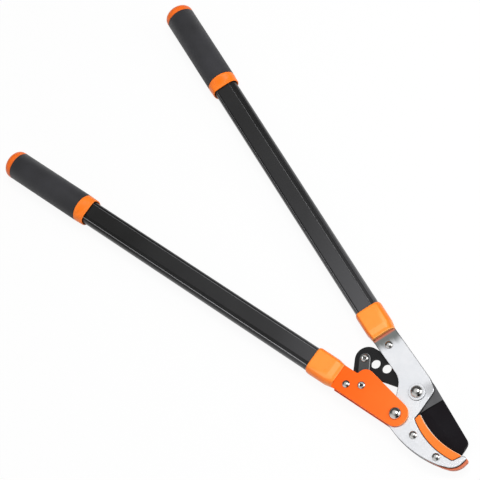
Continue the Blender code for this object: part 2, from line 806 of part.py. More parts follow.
def make_links():
    holes = [(LINK_PIVOT, HOLLOW_SHANK_R + GAP), (LINK_PIN, PIN_NECK_R + GAP)]
    outline = link_outline()
    for name, low, high in (("link_plate_front", PLATE_IN, LINK_OUT),
                            ("link_plate_back", -LINK_OUT, -PLATE_IN)):
        obj = slab(name, outline, low, high, "link", "link_steel", PLATE_EDGE)
        drill(obj, "link", holes)


# Fasteners

def dome(radius, rise, base, steps=4):
    """Rounded head from its top down to the rim."""
    rim = rise * 0.15
    points = []
    for k in range(steps + 1):
        t = math.pi / 2 * k / steps
        points.append((radius * math.sin(t), base + rim + (rise - rim) * math.cos(t)))
    points.append((radius, base))
    return points


def make_rivet(name, place, body, head_r, head_h, shank_r, grip):
    top = dome(head_r, head_h, grip)
    bottom = [(r, -z) for r, z in reversed(top)]
    profile = top + [(shank_r, grip), (shank_r, -grip)] + bottom
    revolve(name, profile, place, body, "rivet_steel")


def make_hollow_rivet(name, place, body, grip, shoulder=None):
    """Tubular rivet with rolled heads; a shoulder makes its middle thicker."""
    r, h, bore = HOLLOW_HEAD_R, HOLLOW_HEAD_H, HOLLOW_BORE_R
    neck = HOLLOW_SHANK_R if shoulder is None else PIN_NECK_R
    half = [
        (bore, 0.0),
        (bore, grip + h * 0.45),
        (bore + 0.0007, grip + h * 0.95),
        (r * 0.62, grip + h),
        (r * 0.88, grip + h * 0.80),
        (r, grip + h * 0.35),
        (r, grip),
        (neck, grip),
    ]
    if shoulder is not None:
        half += [(neck, PLATE_IN - GAP), (shoulder, PLATE_IN - GAP)]
    profile = half + [(x, -z) for x, z in reversed(half[1:])]
    revolve(name, profile, place, body, "rivet_steel", closed=True)


def make_washer(name, low, high):
    inner = PIVOT_SHANK_R + GAP
    ease = WASHER_T / 4
    profile = [(inner, high), (WASHER_R - ease, high), (WASHER_R, high - ease),
               (WASHER_R, low), (inner, low)]
    revolve(name, profile, BLADE_PIVOT, "anvil", "rivet_steel", steps=24, closed=True)


def make_pivot():
    """Blade pivot: domed bolt, two washers and a nut behind."""
    washer_low = PLATE_OUT + GAP
    washer_high = washer_low + WASHER_T
    make_washer("pivot_washer_front", washer_low, washer_high)
    make_washer("pivot_washer_back", -washer_high, -washer_low)
    head = washer_high + GAP
    nut_low = -(head + NUT_T)
    end = nut_low - BOLT_END
    ease = PIVOT_SHANK_R / 8
    profile = dome(PIVOT_HEAD_R, PIVOT_HEAD_H, head) + [
        (PIVOT_SHANK_R, head), (PIVOT_SHANK_R, end + ease), (PIVOT_SHANK_R - ease, end), (0.0, end),
    ]
    revolve("pivot_bolt", profile, BLADE_PIVOT, "anvil", "rivet_steel")
    flat = NUT_FLATS / 2 / math.cos(math.pi / 6)
    hexagon = [(flat * math.cos(math.pi / 3 * k), flat * math.sin(math.pi / 3 * k)) for k in range(6)]
    nut = slab("pivot_nut", hexagon, nut_low, -head, "anvil", "rivet_steel", 0.0006)
    drill(nut, "anvil", [(BLADE_PIVOT, PIVOT_SHANK_R + GAP)])


def make_spacer():
    half = BLADE_T / 2
    inner = PIVOT_SHANK_R + GAP
    profile = [(inner, half), (SPACER_R, half), (SPACER_R, -half), (inner, -half)]
    revolve("jaw_spacer", profile, LEVER_PIVOT, "anvil", "link_steel", closed=True)


def make_fasteners():
    small = (RIVET_HEAD_R, RIVET_HEAD_H, RIVET_SHANK_R)
    make_pivot()
    make_spacer()
    make_rivet("anvil_tang_rivet", ANVIL_TANG_RIVET, "anvil", *small, PLATE_OUT + GAP)
    make_rivet("pad_rivet_inner", PAD_RIVET_INNER, "anvil", *small, PLATE_OUT + GAP)
    make_rivet("pad_rivet_outer", PAD_RIVET_OUTER, "anvil", *small, PLATE_OUT + GAP)
    make_rivet("lever_tang_rivet", LEVER_TANG_RIVET, "lever", *small, LEVER_OUT + GAP)
    make_rivet("lever_pivot_rivet", LEVER_PIVOT, "lever", PIVOT_HEAD_R, PIVOT_HEAD_H,
               PIVOT_SHANK_R, LEVER_OUT + GAP)
    make_hollow_rivet("link_rivet", LINK_PIVOT, "lever", LEVER_OUT + GAP)
    make_hollow_rivet("link_pin", LINK_PIN, "link", LINK_OUT + GAP, shoulder=PIN_R)


def make_handle(side, body, slot_in, slot_out, slot_h):
    make_tube(side, body)
    make_ferrule(side, body, slot_in, slot_out, slot_h)
    make_grip_core(side, body)
    make_sleeve(side, body)
    make_cap(side, body)


def stand_on_floor():
    """Move the whole tool so that its box stands centred on the origin."""
    bpy.context.view_layer.update()
    graph = bpy.context.evaluated_depsgraph_get()
    low, high = [math.inf] * 3, [-math.inf] * 3
    for obj in bpy.data.objects:
        if obj.type != "MESH" or obj.hide_render:
            continue
        solid = obj.evaluated_get(graph)
        for vert in solid.data.vertices:
            spot = solid.matrix_world @ vert.co
            low = [min(a, b) for a, b in zip(low, spot)]
            high = [max(a, b) for a, b in zip(high, spot)]
    AXES["anvil"].location = (-(low[0] + high[0]) / 2, -(low[1] + high[1]) / 2, -low[2])


clear_scene()
AXES = make_axes()
make_anvil_plates()
make_tang_spacer()
make_pad()
make_blade()
make_lever_plates()
make_lever_block()
make_links()
make_fasteners()
make_handle("upper", "anvil", NECK_INNER, NECK_OUTER, PLATE_OUT)
make_handle("lower", "lever", LEVER_TANG_INNER, LEVER_TANG_OUTER, LEVER_OUT)
stand_on_floor()
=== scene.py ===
"""Looks of the anvil lopper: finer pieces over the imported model, finishes, studio and camera.

Drawings are in millimetres in the tool's own plane, with the blade pivot as origin
and the jaw towards +X. Heights count from the blade's middle plane. Node values are
in metres, in the same frame.
"""

import json
import math

import bmesh
import bpy
from mathutils import Matrix, Vector


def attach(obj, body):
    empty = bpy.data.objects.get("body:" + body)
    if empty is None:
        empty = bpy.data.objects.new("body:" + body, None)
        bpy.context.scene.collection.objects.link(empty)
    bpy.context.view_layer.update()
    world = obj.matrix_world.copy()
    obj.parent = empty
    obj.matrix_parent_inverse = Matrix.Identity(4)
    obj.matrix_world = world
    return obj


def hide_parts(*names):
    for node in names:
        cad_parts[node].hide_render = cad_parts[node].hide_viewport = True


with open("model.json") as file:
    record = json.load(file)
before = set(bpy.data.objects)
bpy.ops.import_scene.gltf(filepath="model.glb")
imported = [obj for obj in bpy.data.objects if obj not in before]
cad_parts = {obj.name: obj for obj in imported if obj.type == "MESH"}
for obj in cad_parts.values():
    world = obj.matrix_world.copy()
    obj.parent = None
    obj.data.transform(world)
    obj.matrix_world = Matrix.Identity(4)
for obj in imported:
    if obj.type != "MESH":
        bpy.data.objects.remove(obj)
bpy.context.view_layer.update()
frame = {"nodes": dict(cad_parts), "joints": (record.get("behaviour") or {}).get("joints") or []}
PIVOT = next(Vector(joint["pos_m"]) for joint in frame["joints"] if joint["name"] == "blade_pivot")
MM = 0.001
MERGE = 0.0005  # points of a drawing closer than this become one
PLAY = 0.3  # room between pieces that fit together

# Layers of the head, as heights from the middle plane
BLADE_HALF = 2.5
PLATE_LOW, PLATE_HIGH = 2.8, 5.8
LINK_LOW, LINK_HIGH = 2.8, 5.4
LEVER_LOW, LEVER_HIGH = 6.1, 8.9

# Places in the tool's plane
LEVER_PIVOT = (1.5, -33.4)
LINK_PIVOT = (-48.8, -38.2)
LINK_PIN = (-70.6, -14.7)
NOTCH_OUTER = (-71.4, -15.1)
NOTCHES, NOTCH_PITCH, NOTCH_R = 3, 14.0, 5.5
NOTCH_SLOPE = math.radians(21.0)
ANVIL_TANG_RIVET = (-62.1, 14.8)
PAD_RIVETS = {"inner": (32.2, -35.8), "outer": (67.6, -34.8)}
LEVER_TANG_RIVET = (-62.3, -49.4)
EDGE_HEEL, EDGE_BELLY, EDGE_TIP = (18.4, -13.5), (50.0, -19.7), (84.6, -13.9)
SEAT_START, SEAT_MID, SEAT_END = (19.6, -22.3), (50.0, -29.6), (79.0, -26.3)

# Radii of the holes, and each head with its radius, rise and shank's radius
PIVOT_HOLE, RIVET_HOLE, LINK_HOLE, PIN_HOLE = 5.3, 2.8, 3.3, 3.0
PAD_HOLES = [(spot, RIVET_HOLE) for spot in PAD_RIVETS.values()]
PIVOT_HEAD, SMALL_HEAD = (6.8, 4.2, 5.0), (4.4, 2.4, 2.5)

# Handles
HANDLE_ANGLE = math.radians(11.63)
HANDLE_START = {"upper": (-111.5, 26.4), "lower": (-112.4, -56.2)}
TUBE_BARE = {"upper": 345.1, "lower": 347.4}
TUBE_W, TUBE_H, TUBE_WALL, TUBE_MOUTH = 28.9, 17.8, 1.8, 24.5
PANEL_INNER, PANEL_OUTER = 11.0, 5.0
GROOVE_START, GROOVE_W = (11.4, 10.3), (1.7, 4.6)  # inner, outer
GROOVE_DEEP, LIP_DROP = 0.7, 0.6
FERRULE_L, FERRULE_W, FERRULE_H = 36.3, 32.6, 22.6
FERRULE_END_W, FERRULE_END_H, FERRULE_TAPER = 28.8, 20.7, 11.0
RING_L, RING_END_W, RING_END_H = 13.1, 34.4, 22.8
SLEEVE_L, SLEEVE_D, SLEEVE_WALL = 109.7, 35.2, 1.8
CAP_L, CAP_BAND = 13.5, 3.0
BODY_OF = {"upper": "anvil", "lower": "lever"}


# Outlines

def circle_through(p, q, r):
    (ax, ay), (bx, by), (cx, cy) = p, q, r
    d = 2 * (ax * (by - cy) + bx * (cy - ay) + cx * (ay - by))
    aa, bb, cc = ax * ax + ay * ay, bx * bx + by * by, cx * cx + cy * cy
    centre = ((aa * (by - cy) + bb * (cy - ay) + cc * (ay - by)) / d,
              (aa * (cx - bx) + bb * (ax - cx) + cc * (bx - ax)) / d)
    return centre, math.dist(centre, p)


EDGE_CENTRE, EDGE_RADIUS = circle_through(EDGE_HEEL, EDGE_BELLY, EDGE_TIP)
SEAT_CENTRE, SEAT_RADIUS = circle_through(SEAT_START, SEAT_MID, SEAT_END)


def around(centre, radius, turns):
    return [(centre[0] + radius * math.cos(a), centre[1] + radius * math.sin(a)) for a in turns]


def arc(centre, radius, start, end, steps):
    a0 = math.atan2(start[1] - centre[1], start[0] - centre[0])
    a1 = math.atan2(end[1] - centre[1], end[0] - centre[0])
    return around(centre, radius, [a0 + (a1 - a0) * k / steps for k in range(steps + 1)])


def circle(centre, radius, steps=56):
    return around(centre, radius, [2 * math.pi * k / steps for k in range(steps)])


def rounded(points, step=6.0):
    """Outline of (x, y, radius) corners, each turned into a fine arc."""
    out = []
    for i, (x, y, radius) in enumerate(points):
        if radius <= 0.0:
            out.append((x, y))
            continue
        here = Vector((x, y))
        before = (Vector(points[i - 1][:2]) - here).normalized()
        after = (Vector(points[(i + 1) % len(points)][:2]) - here).normalized()
        half = before.angle(after) / 2
        centre = here + (before + after).normalized() * (radius / math.sin(half))
        reach = radius / math.tan(half)
        first = here + before * reach - centre
        turn = first.angle_signed(here + after * reach - centre)
        steps = max(2, math.ceil(abs(math.degrees(turn)) / step))
        for k in range(steps + 1):
            out.append(tuple(centre + Matrix.Rotation(-turn * k / steps, 2) @ first))
    return out


def sharp(points):
    return [(x, y, 0.0) for x, y in points]


def on_handle(side, along, across):
    """Plane point from a distance along a handle and one outward from its axis."""
    start, sign = HANDLE_START[side], 1.0 if side == "upper" else -1.0
    c, s = math.cos(HANDLE_ANGLE), math.sin(HANDLE_ANGLE)
    return (start[0] + along * c + across * s, start[1] + sign * (across * c - along * s))


def corners(side, *places):
    """Corners of an outline, from distances along and outward and a radius."""
    return [(*on_handle(side, along, across), radius) for along, across, radius in places]


def handle_matrix(side):
    """From a handle's own drawing, along, outward and up, to the tool's plane."""
    start, sign = HANDLE_START[side], 1.0 if side == "upper" else -1.0
    c, s = math.cos(HANDLE_ANGLE), math.sin(HANDLE_ANGLE)
    return Matrix(((c, s, 0, start[0]), (-sign * s, sign * c, 0, start[1]),
                   (0, 0, 1, 0), (0, 0, 0, 1)))


# Node building for the finishes

class Nodes:
    """A node tree with short calls to add and join its nodes."""

    def __init__(self, tree):
        self.tree = tree
        self.column = 0

    def add(self, kind, settings=None, **inputs):
        node = self.tree.nodes.new(kind)
        node.location = (self.column * 200, 0)
        self.column += 1
        for name, value in (settings or {}).items():
            setattr(node, name, value)
        for name, value in inputs.items():
            self.feed(node, name.replace("_", " "), value)
        return node

    def feed(self, node, key, value):
        """Set an input, or join another node's output to it."""
        if isinstance(value, bpy.types.NodeSocket):
            self.tree.links.new(value, node.inputs[key])
        else:
            node.inputs[key].default_value = value

    def in_order(self, kind, settings, *values):
        """Add a node and feed its inputs from the first on."""
        node = self.add(kind, settings)
        for number, value in enumerate(values):
            self.feed(node, number, value)
        return node.outputs

    def math(self, operation, *values):
        return self.in_order("ShaderNodeMath", {"operation": operation}, *values)[0]

    def vectors(self, operation, first, second):
        made = self.in_order("ShaderNodeVectorMath", {"operation": operation}, first, second)
        return made["Value"]

    def noise(self, vector, scale, detail=3.0, rough=0.5):
        node = self.add("ShaderNodeTexNoise", Vector=vector, Scale=scale, Detail=detail,
                        Roughness=rough)
        return node.outputs["Fac"]

    def remap(self, value, low, high, to_low=0.0, to_high=1.0, smooth=True):
        settings = {"interpolation_type": "SMOOTHSTEP" if smooth else "LINEAR"}
        node = self.add("ShaderNodeMapRange", settings, Value=value, From_Min=low, From_Max=high,
                        To_Min=to_low, To_Max=to_high)
        return node.outputs["Result"]

    def mix(self, share, first, second):
        node = self.add("ShaderNodeMix", {"data_type": "RGBA"})
        for number, value in ((0, share), (6, first), (7, second)):
            self.feed(node, number, value)
        return node.outputs[2]

    def own(self, kind="Object"):
        """Place on the piece, in metres, or as Normal the way its surface faces."""
        return self.add("ShaderNodeTexCoord").outputs[kind]

    def axis(self, vector, letter):
        return self.add("ShaderNodeSeparateXYZ", Vector=vector).outputs[letter]

    def rotated(self, vector, angle):
        return self.add("ShaderNodeVectorRotate", {"rotation_type": "Z_AXIS"}, Vector=vector,
                        Angle=angle).outputs["Vector"]

    def drawn_out(self, vector, share):
        """Places squeezed along X, so that a noise on them runs in long lines."""
        scale = (share, 1.0, 1.0)
        return self.add("ShaderNodeMapping", Vector=vector, Scale=scale).outputs["Vector"]


def cleared_nodes(owner):
    owner.use_nodes = True
    owner.node_tree.nodes.clear()
    return Nodes(owner.node_tree)


def group(name, inputs, *outputs):
    """A shared effect: its nodes, its inputs and its output node."""
    tree = bpy.data.node_groups.new(name, "ShaderNodeTree")
    for label, value in inputs.items():
        kind = "NodeSocketVector" if isinstance(value, tuple) else "NodeSocketFloat"
        socket = tree.interface.new_socket(label, in_out="INPUT", socket_type=kind)
        socket.default_value = value
    for label in outputs:
        tree.interface.new_socket(label, in_out="OUTPUT", socket_type="NodeSocketFloat")
    nodes = Nodes(tree)
    return nodes, nodes.add("NodeGroupInput").outputs, nodes.add("NodeGroupOutput")


def edge_wear_group():
    """Mask that is 1 on rubbed edges: where a rounded normal leaves the surface's own."""
    inputs = {"Radius": 0.0005, "Breakup": 400.0, "Amount": 0.5}
    nodes, given, made = group("edge_wear", inputs, "Mask")
    soft = nodes.add("ShaderNodeBevel", {"samples": 6}, Radius=given["Radius"]).outputs["Normal"]
    face = nodes.add("ShaderNodeNewGeometry").outputs["Normal"]
    bend = nodes.remap(nodes.vectors("DOT_PRODUCT", soft, face), 0.995, 0.88)
    chips = nodes.remap(nodes.noise(nodes.own(), given["Breakup"], 4.0, 0.6), 0.40, 0.62)
    worn = nodes.math("MULTIPLY", nodes.math("MULTIPLY", bend, chips), given["Amount"])
    nodes.feed(made, "Mask", worn)
    return nodes.tree


def fine_grain_group():
    """Fine moulded or sprayed texture: a height, and a slow mottle as a mask."""
    nodes, given, made = group("fine_grain", {"Scale": 1500.0, "Mottle": 30.0}, "Height", "Patch")
    place = nodes.own()
    nodes.feed(made, "Height", nodes.noise(place, given["Scale"], 2.0, 0.5))
    patch = nodes.noise(place, given["Mottle"], 3.0, 0.55)
    nodes.feed(made, "Patch", nodes.remap(patch, 0.3, 0.7))
    return nodes.tree


def rub_marks_group():
    """Long fine scratches in one direction and a few smudges, each as a mask."""
    nodes, given, made = group("rub_marks", {"Fineness": 900.0, "Turn": 0.0}, "Lines", "Smudge")
    place = nodes.own()
    drawn = nodes.drawn_out(nodes.rotated(place, given["Turn"]), 0.03)
    nodes.feed(made, "Lines", nodes.noise(drawn, given["Fineness"], 4.0, 0.65))
    nodes.feed(made, "Smudge", nodes.remap(nodes.noise(place, 45.0, 4.0, 0.6), 0.35, 0.75))
    return nodes.tree


def neck_shade_group():
    """Masks of painted light on the plating: painted dark reflection in streaks in front of
    the ferrule, a painted reflection of the ferrule right beside it, and a soft painted dark
    reflection at the jaw's corner."""
    inputs = {"Reach": 0.022, "Cloud": 0.013}
    nodes, given, made = group("neck_shade", inputs, "NeckShade", "FerruleReflection", "CornerShade")
    place = nodes.own()
    turned = nodes.rotated(place, HANDLE_ANGLE)
    start = Matrix.Rotation(HANDLE_ANGLE, 2) @ Vector(on_handle("upper", FERRULE_L, 0.0)) * MM
    past = nodes.math("SUBTRACT", nodes.axis(turned, "X"), start.x)
    streaks = nodes.remap(nodes.noise(nodes.drawn_out(turned, 0.10), 260.0), 0.3, 0.7)
    drift = nodes.math("MULTIPLY", streaks, 0.0035)
    neck = nodes.remap(nodes.math("ADD", past, drift), given["Reach"], 0.009)
    nodes.feed(made, "NeckShade", neck)
    nodes.feed(made, "FerruleReflection", nodes.remap(past, 0.0042, 0.0022))
    far = nodes.vectors("DISTANCE", place, (0.0085, 0.0135, 0.0058))
    nodes.feed(made, "CornerShade", nodes.remap(far, given["Cloud"], 0.002))
    return nodes.tree


def cut_wall_group():
    """Mask, 1 on the cut walls of sheet pieces and 0 on their flat faces, for painted shade."""
    nodes, given, made = group("cut_wall", {"Flat": 0.90, "Steep": 0.60}, "Mask")
    level = nodes.math("ABSOLUTE", nodes.axis(nodes.own("Normal"), "Z"))
    nodes.feed(made, "Mask", nodes.remap(level, given["Flat"], given["Steep"]))
    return nodes.tree


def lit_edge_group():
    """Mask of the slopes that lean a given way, such as one side of a rolled edge or groove,
    on which the finishes lay a painted highlight.
    """
    inputs = {"Toward": (0.0, 1.0, 0.0), "Above": 0.0, "Below": 1.0, "Start": 0.25, "Full": 0.55}
    nodes, given, made = group("lit_edge", inputs, "Mask")
    lean = nodes.vectors("DOT_PRODUCT", nodes.own("Normal"), given["Toward"])
    lean = nodes.remap(lean, given["Start"], given["Full"])
    height = nodes.math("ABSOLUTE", nodes.axis(nodes.own(), "Z"))
    above = nodes.math("GREATER_THAN", height, given["Above"])
    within = nodes.math("MULTIPLY", above, nodes.math("LESS_THAN", height, given["Below"]))
    nodes.feed(made, "Mask", nodes.math("MULTIPLY", lean, within))
    return nodes.tree


def head_end_group():
    """Share that grows along the handles from the grips to the head."""
    nodes, given, made = group("head_end", {"Far": -0.46, "Near": -0.20}, "Share")
    along = nodes.vectors("DOT_PRODUCT", nodes.own(), (1.0, 0.7, 0.0))
    nodes.feed(made, "Share", nodes.remap(along, given["Far"], given["Near"], smooth=False))
    return nodes.tree


EFFECTS = (edge_wear_group, fine_grain_group, rub_marks_group, neck_shade_group,
           cut_wall_group, lit_edge_group, head_end_group)
GROUPS = {tree.name: tree for tree in [effect() for effect in EFFECTS]}


class Finish(Nodes):
    """A material: one Principled shader fed by shared effects."""

    def __init__(self, name, **plain):
        material = bpy.data.materials.new(name)
        material.use_nodes = True
        super().__init__(material.node_tree)
        self.material = material
        self.shader = self.tree.nodes["Principled BSDF"]
        for label, value in plain.items():
            self.shader.inputs[label.replace("_", " ")].default_value = value

    def effect(self, key, **inputs):
        return self.add("ShaderNodeGroup", {"node_tree": GROUPS[key]}, **inputs).outputs

    def worn(self, radius, breakup, amount):
        return self.effect("edge_wear", Radius=radius, Breakup=breakup, Amount=amount)["Mask"]

    def tint(self, body, mask, colour, share=None):
        """Another colour laid over the body's, by a mask or by a share of it."""
        return self.mix(self.math("MULTIPLY", mask, share) if share else mask, body, colour)

    def cover(self, colour, rough, height, strength, distance):
        """Feed the shader, and hand over the material."""
        self.feed(self.shader, "Base Color", colour)
        self.feed(self.shader, "Roughness", rough)
        bump = self.add("ShaderNodeBump", Height=height, Strength=strength, Distance=distance)
        self.feed(self.shader, "Normal", bump.outputs["Normal"])
        return self.material


def rgb(red, green, blue):
    """Colour as seen on a screen, 0 to 255, turned into light."""
    def light(v):
        v /= 255.0
        return v / 12.92 if v <= 0.04045 else ((v + 0.055) / 1.055) ** 2.4
    return (light(red), light(green), light(blue), 1.0)


# Heights in metres: the top of a groove's lit wall, and the height above which a ferrule tapers
GROOVE_RIM, TAPER_RIM = 0.00835, 0.0101


def plastic_finish(name, deep, pale, rough, side=None, edge=None, taper=None,
                   toward=(0.1, 0.99, 0.0)):
    """Moulded plastic; if given, painted shade on its steep sides, and painted highlights
    on its edges and its taper that lean towards the light.
    """
    finish = Finish(name, IOR=1.48, Specular_IOR_Level=0.42)
    skin = finish.effect("fine_grain", Scale=1400.0, Mottle=38.0)
    worn = finish.worn(0.0007, 260.0, 0.30)
    body = finish.mix(skin["Patch"], deep, pale)
    if side:
        # Painted shade: the steep sides are darker
        body = finish.tint(body, finish.effect("cut_wall", Flat=0.985, Steep=0.80)["Mask"], side)
    rubbed = tuple(min(1.0, c * 1.25 + 0.03) for c in pale[:3]) + (1.0,)
    body = finish.tint(body, worn, rubbed)
    if taper:
        # Painted highlight on the taper's slopes that lean towards the light
        slope = finish.effect("lit_edge", Toward=toward, Above=TAPER_RIM, Start=0.05, Full=0.11)
        body = finish.tint(body, slope["Mask"], taper, 0.33)
    if edge:
        # Painted highlight on the edges that lean towards the light
        body = finish.tint(body, finish.effect("lit_edge", Toward=toward)["Mask"], edge)
    dull = finish.remap(skin["Patch"], 0, 1, rough - 0.04, rough + 0.05)
    return finish.cover(body, dull, skin["Height"], 0.10, 0.00012)


def lever_paint_finish():
    """Sprayed paint, paler towards the head; a painted highlight on the edges that face the light.
    """
    finish = Finish("lever_paint", IOR=1.45, Specular_IOR_Level=0.22)
    skin = finish.effect("fine_grain", Scale=620.0, Mottle=24.0)
    worn = finish.worn(0.0006, 300.0, 0.35)
    near = finish.effect("head_end", Far=-0.115, Near=-0.01)["Share"]
    lit = finish.effect("lit_edge", Toward=(0.85, 0.50, 0.0))["Mask"]
    body = finish.mix(near, rgb(255, 94, 8), rgb(255, 114, 40))
    body = finish.tint(body, skin["Patch"], rgb(255, 130, 50), 0.12)
    body = finish.tint(body, worn, rgb(255, 160, 95))
    # Painted highlight on the edges that lean towards the light
    body = finish.tint(body, lit, rgb(255, 176, 116), 0.7)
    dull = finish.remap(skin["Patch"], 0, 1, 0.30, 0.38)
    return finish.cover(body, dull, skin["Height"], 0.16, 0.00010)


def tube_coat_finish(name, groove=False):
    """Black coat, with a painted reflection that greys it towards the head; its drawn grooves
    get painted shade, and a painted highlight on one wall.
    """
    finish = Finish(name, IOR=1.50, Specular_IOR_Level=0.36)
    skin = finish.effect("fine_grain", Scale=2100.0, Mottle=14.0)
    worn = finish.worn(0.0005, 220.0, 0.35)
    # Painted reflection: greyer towards the head, more so on the last stretch
    near = finish.effect("head_end", Far=-0.46, Near=-0.20)["Share"]
    last = finish.effect("head_end", Far=-0.21, Near=-0.10)["Share"]
    body = finish.mix(near, rgb(14, 14, 14), rgb(42, 42, 43))
    body = finish.tint(body, last, rgb(74, 74, 76))
    if groove:
        # Painted shade in the grooves
        body = finish.mix(0.75, body, rgb(8, 8, 8))
    body = finish.tint(body, skin["Patch"], rgb(74, 74, 76), 0.10)
    body = finish.tint(body, worn, rgb(80, 80, 82))
    if groove:
        # Painted highlight on the groove wall that leans towards the light, and faintly on the
        # slope above
        wall, rise = (
            finish.effect("lit_edge", Above=low, Below=high, Start=0.30, Full=0.50)["Mask"]
            for low, high in ((0.0, GROOVE_RIM), (GROOVE_RIM, 0.02)))
        strong = finish.math("MULTIPLY", wall, finish.math("MULTIPLY_ADD", near, 0.30, 0.62))
        lit = finish.math("MULTIPLY_ADD", rise, 0.05, strong)
        body = finish.tint(body, lit, rgb(160, 160, 162))
    rough = 0.50 if groove else 0.31
    dull = finish.remap(skin["Patch"], 0, 1, rough, rough + 0.05)
    return finish.cover(body, dull, skin["Height"], 0.12, 0.00008)


def soft_grip_finish():
    """Soft rubber with fine pores."""
    finish = Finish("soft_grip", IOR=1.45, Specular_IOR_Level=0.25, Sheen_Weight=0.08,
                    Sheen_Roughness=0.5)
    skin = finish.effect("fine_grain", Scale=1900.0, Mottle=26.0)
    pores = finish.add("ShaderNodeTexVoronoi", Vector=finish.own(), Scale=1300.0)
    pits = finish.math("MULTIPLY", pores.outputs["Distance"], 0.7)
    body = finish.mix(skin["Patch"], rgb(49, 49, 51), rgb(56, 56, 59))
    dull = finish.remap(skin["Patch"], 0, 1, 0.50, 0.62)
    return finish.cover(body, dull, finish.math("ADD", pits, skin["Height"]), 0.35, 0.00015)


def plated_sheet_finish():
    """Bright plating over rolled sheet with fine lines along the tool; painted dark reflection
    by the ferrule and at the jaw's corner, a painted reflection of the ferrule, and painted
    shade on the cut walls.
    """
    finish = Finish("plated_sheet", Metallic=0.50, IOR=1.5, Specular_IOR_Level=0.3)
    marks = finish.effect("rub_marks", Fineness=700.0, Turn=0.2)
    worn = finish.worn(0.0005, 500.0, 0.5)
    shade = finish.effect("neck_shade")
    body = finish.mix(marks["Smudge"], rgb(235, 237, 241), rgb(243, 244, 247))
    # Painted dark reflection at the jaw's corner and by the ferrule, and painted ferrule
    # reflection
    body = finish.tint(body, shade["CornerShade"], rgb(142, 142, 144), 0.50)
    body = finish.tint(body, shade["NeckShade"], rgb(108, 112, 110), 0.95)
    body = finish.tint(body, shade["FerruleReflection"], rgb(214, 122, 92), 0.8)
    body = finish.tint(body, worn, rgb(252, 252, 253))
    # Painted shade on the cut walls of the sheet
    body = finish.tint(body, finish.effect("cut_wall")["Mask"], rgb(46, 46, 49))
    dull = finish.remap(marks["Lines"], 0.25, 0.75, 0.17, 0.205)
    dull = finish.math("MULTIPLY_ADD", marks["Smudge"], 0.01, dull)
    return finish.cover(body, dull, marks["Lines"], 0.05, 0.00006)


def bright_steel_finish():
    """Nickel-bright fasteners, with painted dark reflection where their sides turn away."""
    finish = Finish("bright_steel", Metallic=1.0)
    marks = finish.effect("rub_marks", Fineness=1600.0, Turn=0.9)
    away = finish.add("ShaderNodeLayerWeight", Blend=0.5).outputs["Facing"]
    body = finish.mix(marks["Smudge"], rgb(222, 220, 216), rgb(240, 240, 240))
    # Painted dark reflection on the sides that turn away from the view
    body = finish.tint(body, finish.remap(away, 0.30, 0.85), rgb(70, 68, 66))
    dull = finish.remap(marks["Lines"], 0.25, 0.75, 0.05, 0.11)
    return finish.cover(body, dull, marks["Lines"], 0.05, 0.00003)


def dark_steel_finish(name, deep, pale, rough=0.42, edge=None):
    """Dark treated steel, with a painted highlight on edges that face the light if given."""
    finish = Finish(name, IOR=1.5, Specular_IOR_Level=0.35)
    marks = finish.effect("rub_marks", Fineness=800.0, Turn=0.4)
    worn = finish.worn(0.0005, 350.0, 0.6)
    body = finish.tint(finish.mix(marks["Smudge"], deep, pale), worn, rgb(150, 150, 152))
    if edge:
        # Painted highlight on the edges that lean towards the light
        lit = finish.effect("lit_edge", Toward=(0.45, 0.89, 0.0))["Mask"]
        body = finish.tint(body, lit, edge)
    dull = finish.remap(marks["Lines"], 0.25, 0.75, rough - 0.08, rough + 0.06)
    return finish.cover(body, dull, marks["Lines"], 0.08, 0.00005)


# The coat's line across the blade, from its back to its heel, in metres
COAT_LINE = (Vector((0.0263, 0.0143, 0.0)), Vector((0.0195, -0.0116, 0.0)))


def blade_finish():
    """Black coat from the line to the tip, grey ground steel around the pivot, darker tail."""
    finish = Finish("blade_steel", IOR=1.5, Specular_IOR_Level=0.05)
    place = finish.own()
    run = (COAT_LINE[1] - COAT_LINE[0]).normalized()
    across = Vector((-run.y, run.x, 0.0))
    past = finish.vectors("DOT_PRODUCT", place, across)
    past = finish.math("SUBTRACT", past, COAT_LINE[0].dot(across))
    coat = finish.remap(past, -0.00025, 0.00025)
    rim = finish.math("MULTIPLY", finish.remap(past, -0.0011, -0.0003),
                      finish.remap(past, 0.0007, 0.0001))
    tail = finish.remap(finish.axis(place, "X"), -0.020, -0.004, 1.0, 0.0)
    marks = finish.effect("rub_marks", Fineness=800.0, Turn=0.3)
    skin = finish.effect("fine_grain", Scale=1500.0, Mottle=30.0)
    worn = finish.worn(0.0005, 300.0, 0.6)
    bare = finish.mix(marks["Smudge"], rgb(86, 86, 88), rgb(96, 96, 98))
    black = finish.mix(skin["Patch"], rgb(24, 21, 24), rgb(28, 26, 29))
    body = finish.tint(bare, tail, rgb(38, 38, 39))
    body = finish.tint(body, coat, black)
    body = finish.tint(body, worn, rgb(120, 120, 122))
    body = finish.tint(body, rim, rgb(8, 8, 8))
    dull = finish.remap(marks["Lines"], 0.25, 0.75, 0.44, 0.50)
    height = finish.math("ADD", skin["Height"], finish.math("MULTIPLY", coat, 3.0))
    return finish.cover(body, dull, height, 0.15, 0.00008)


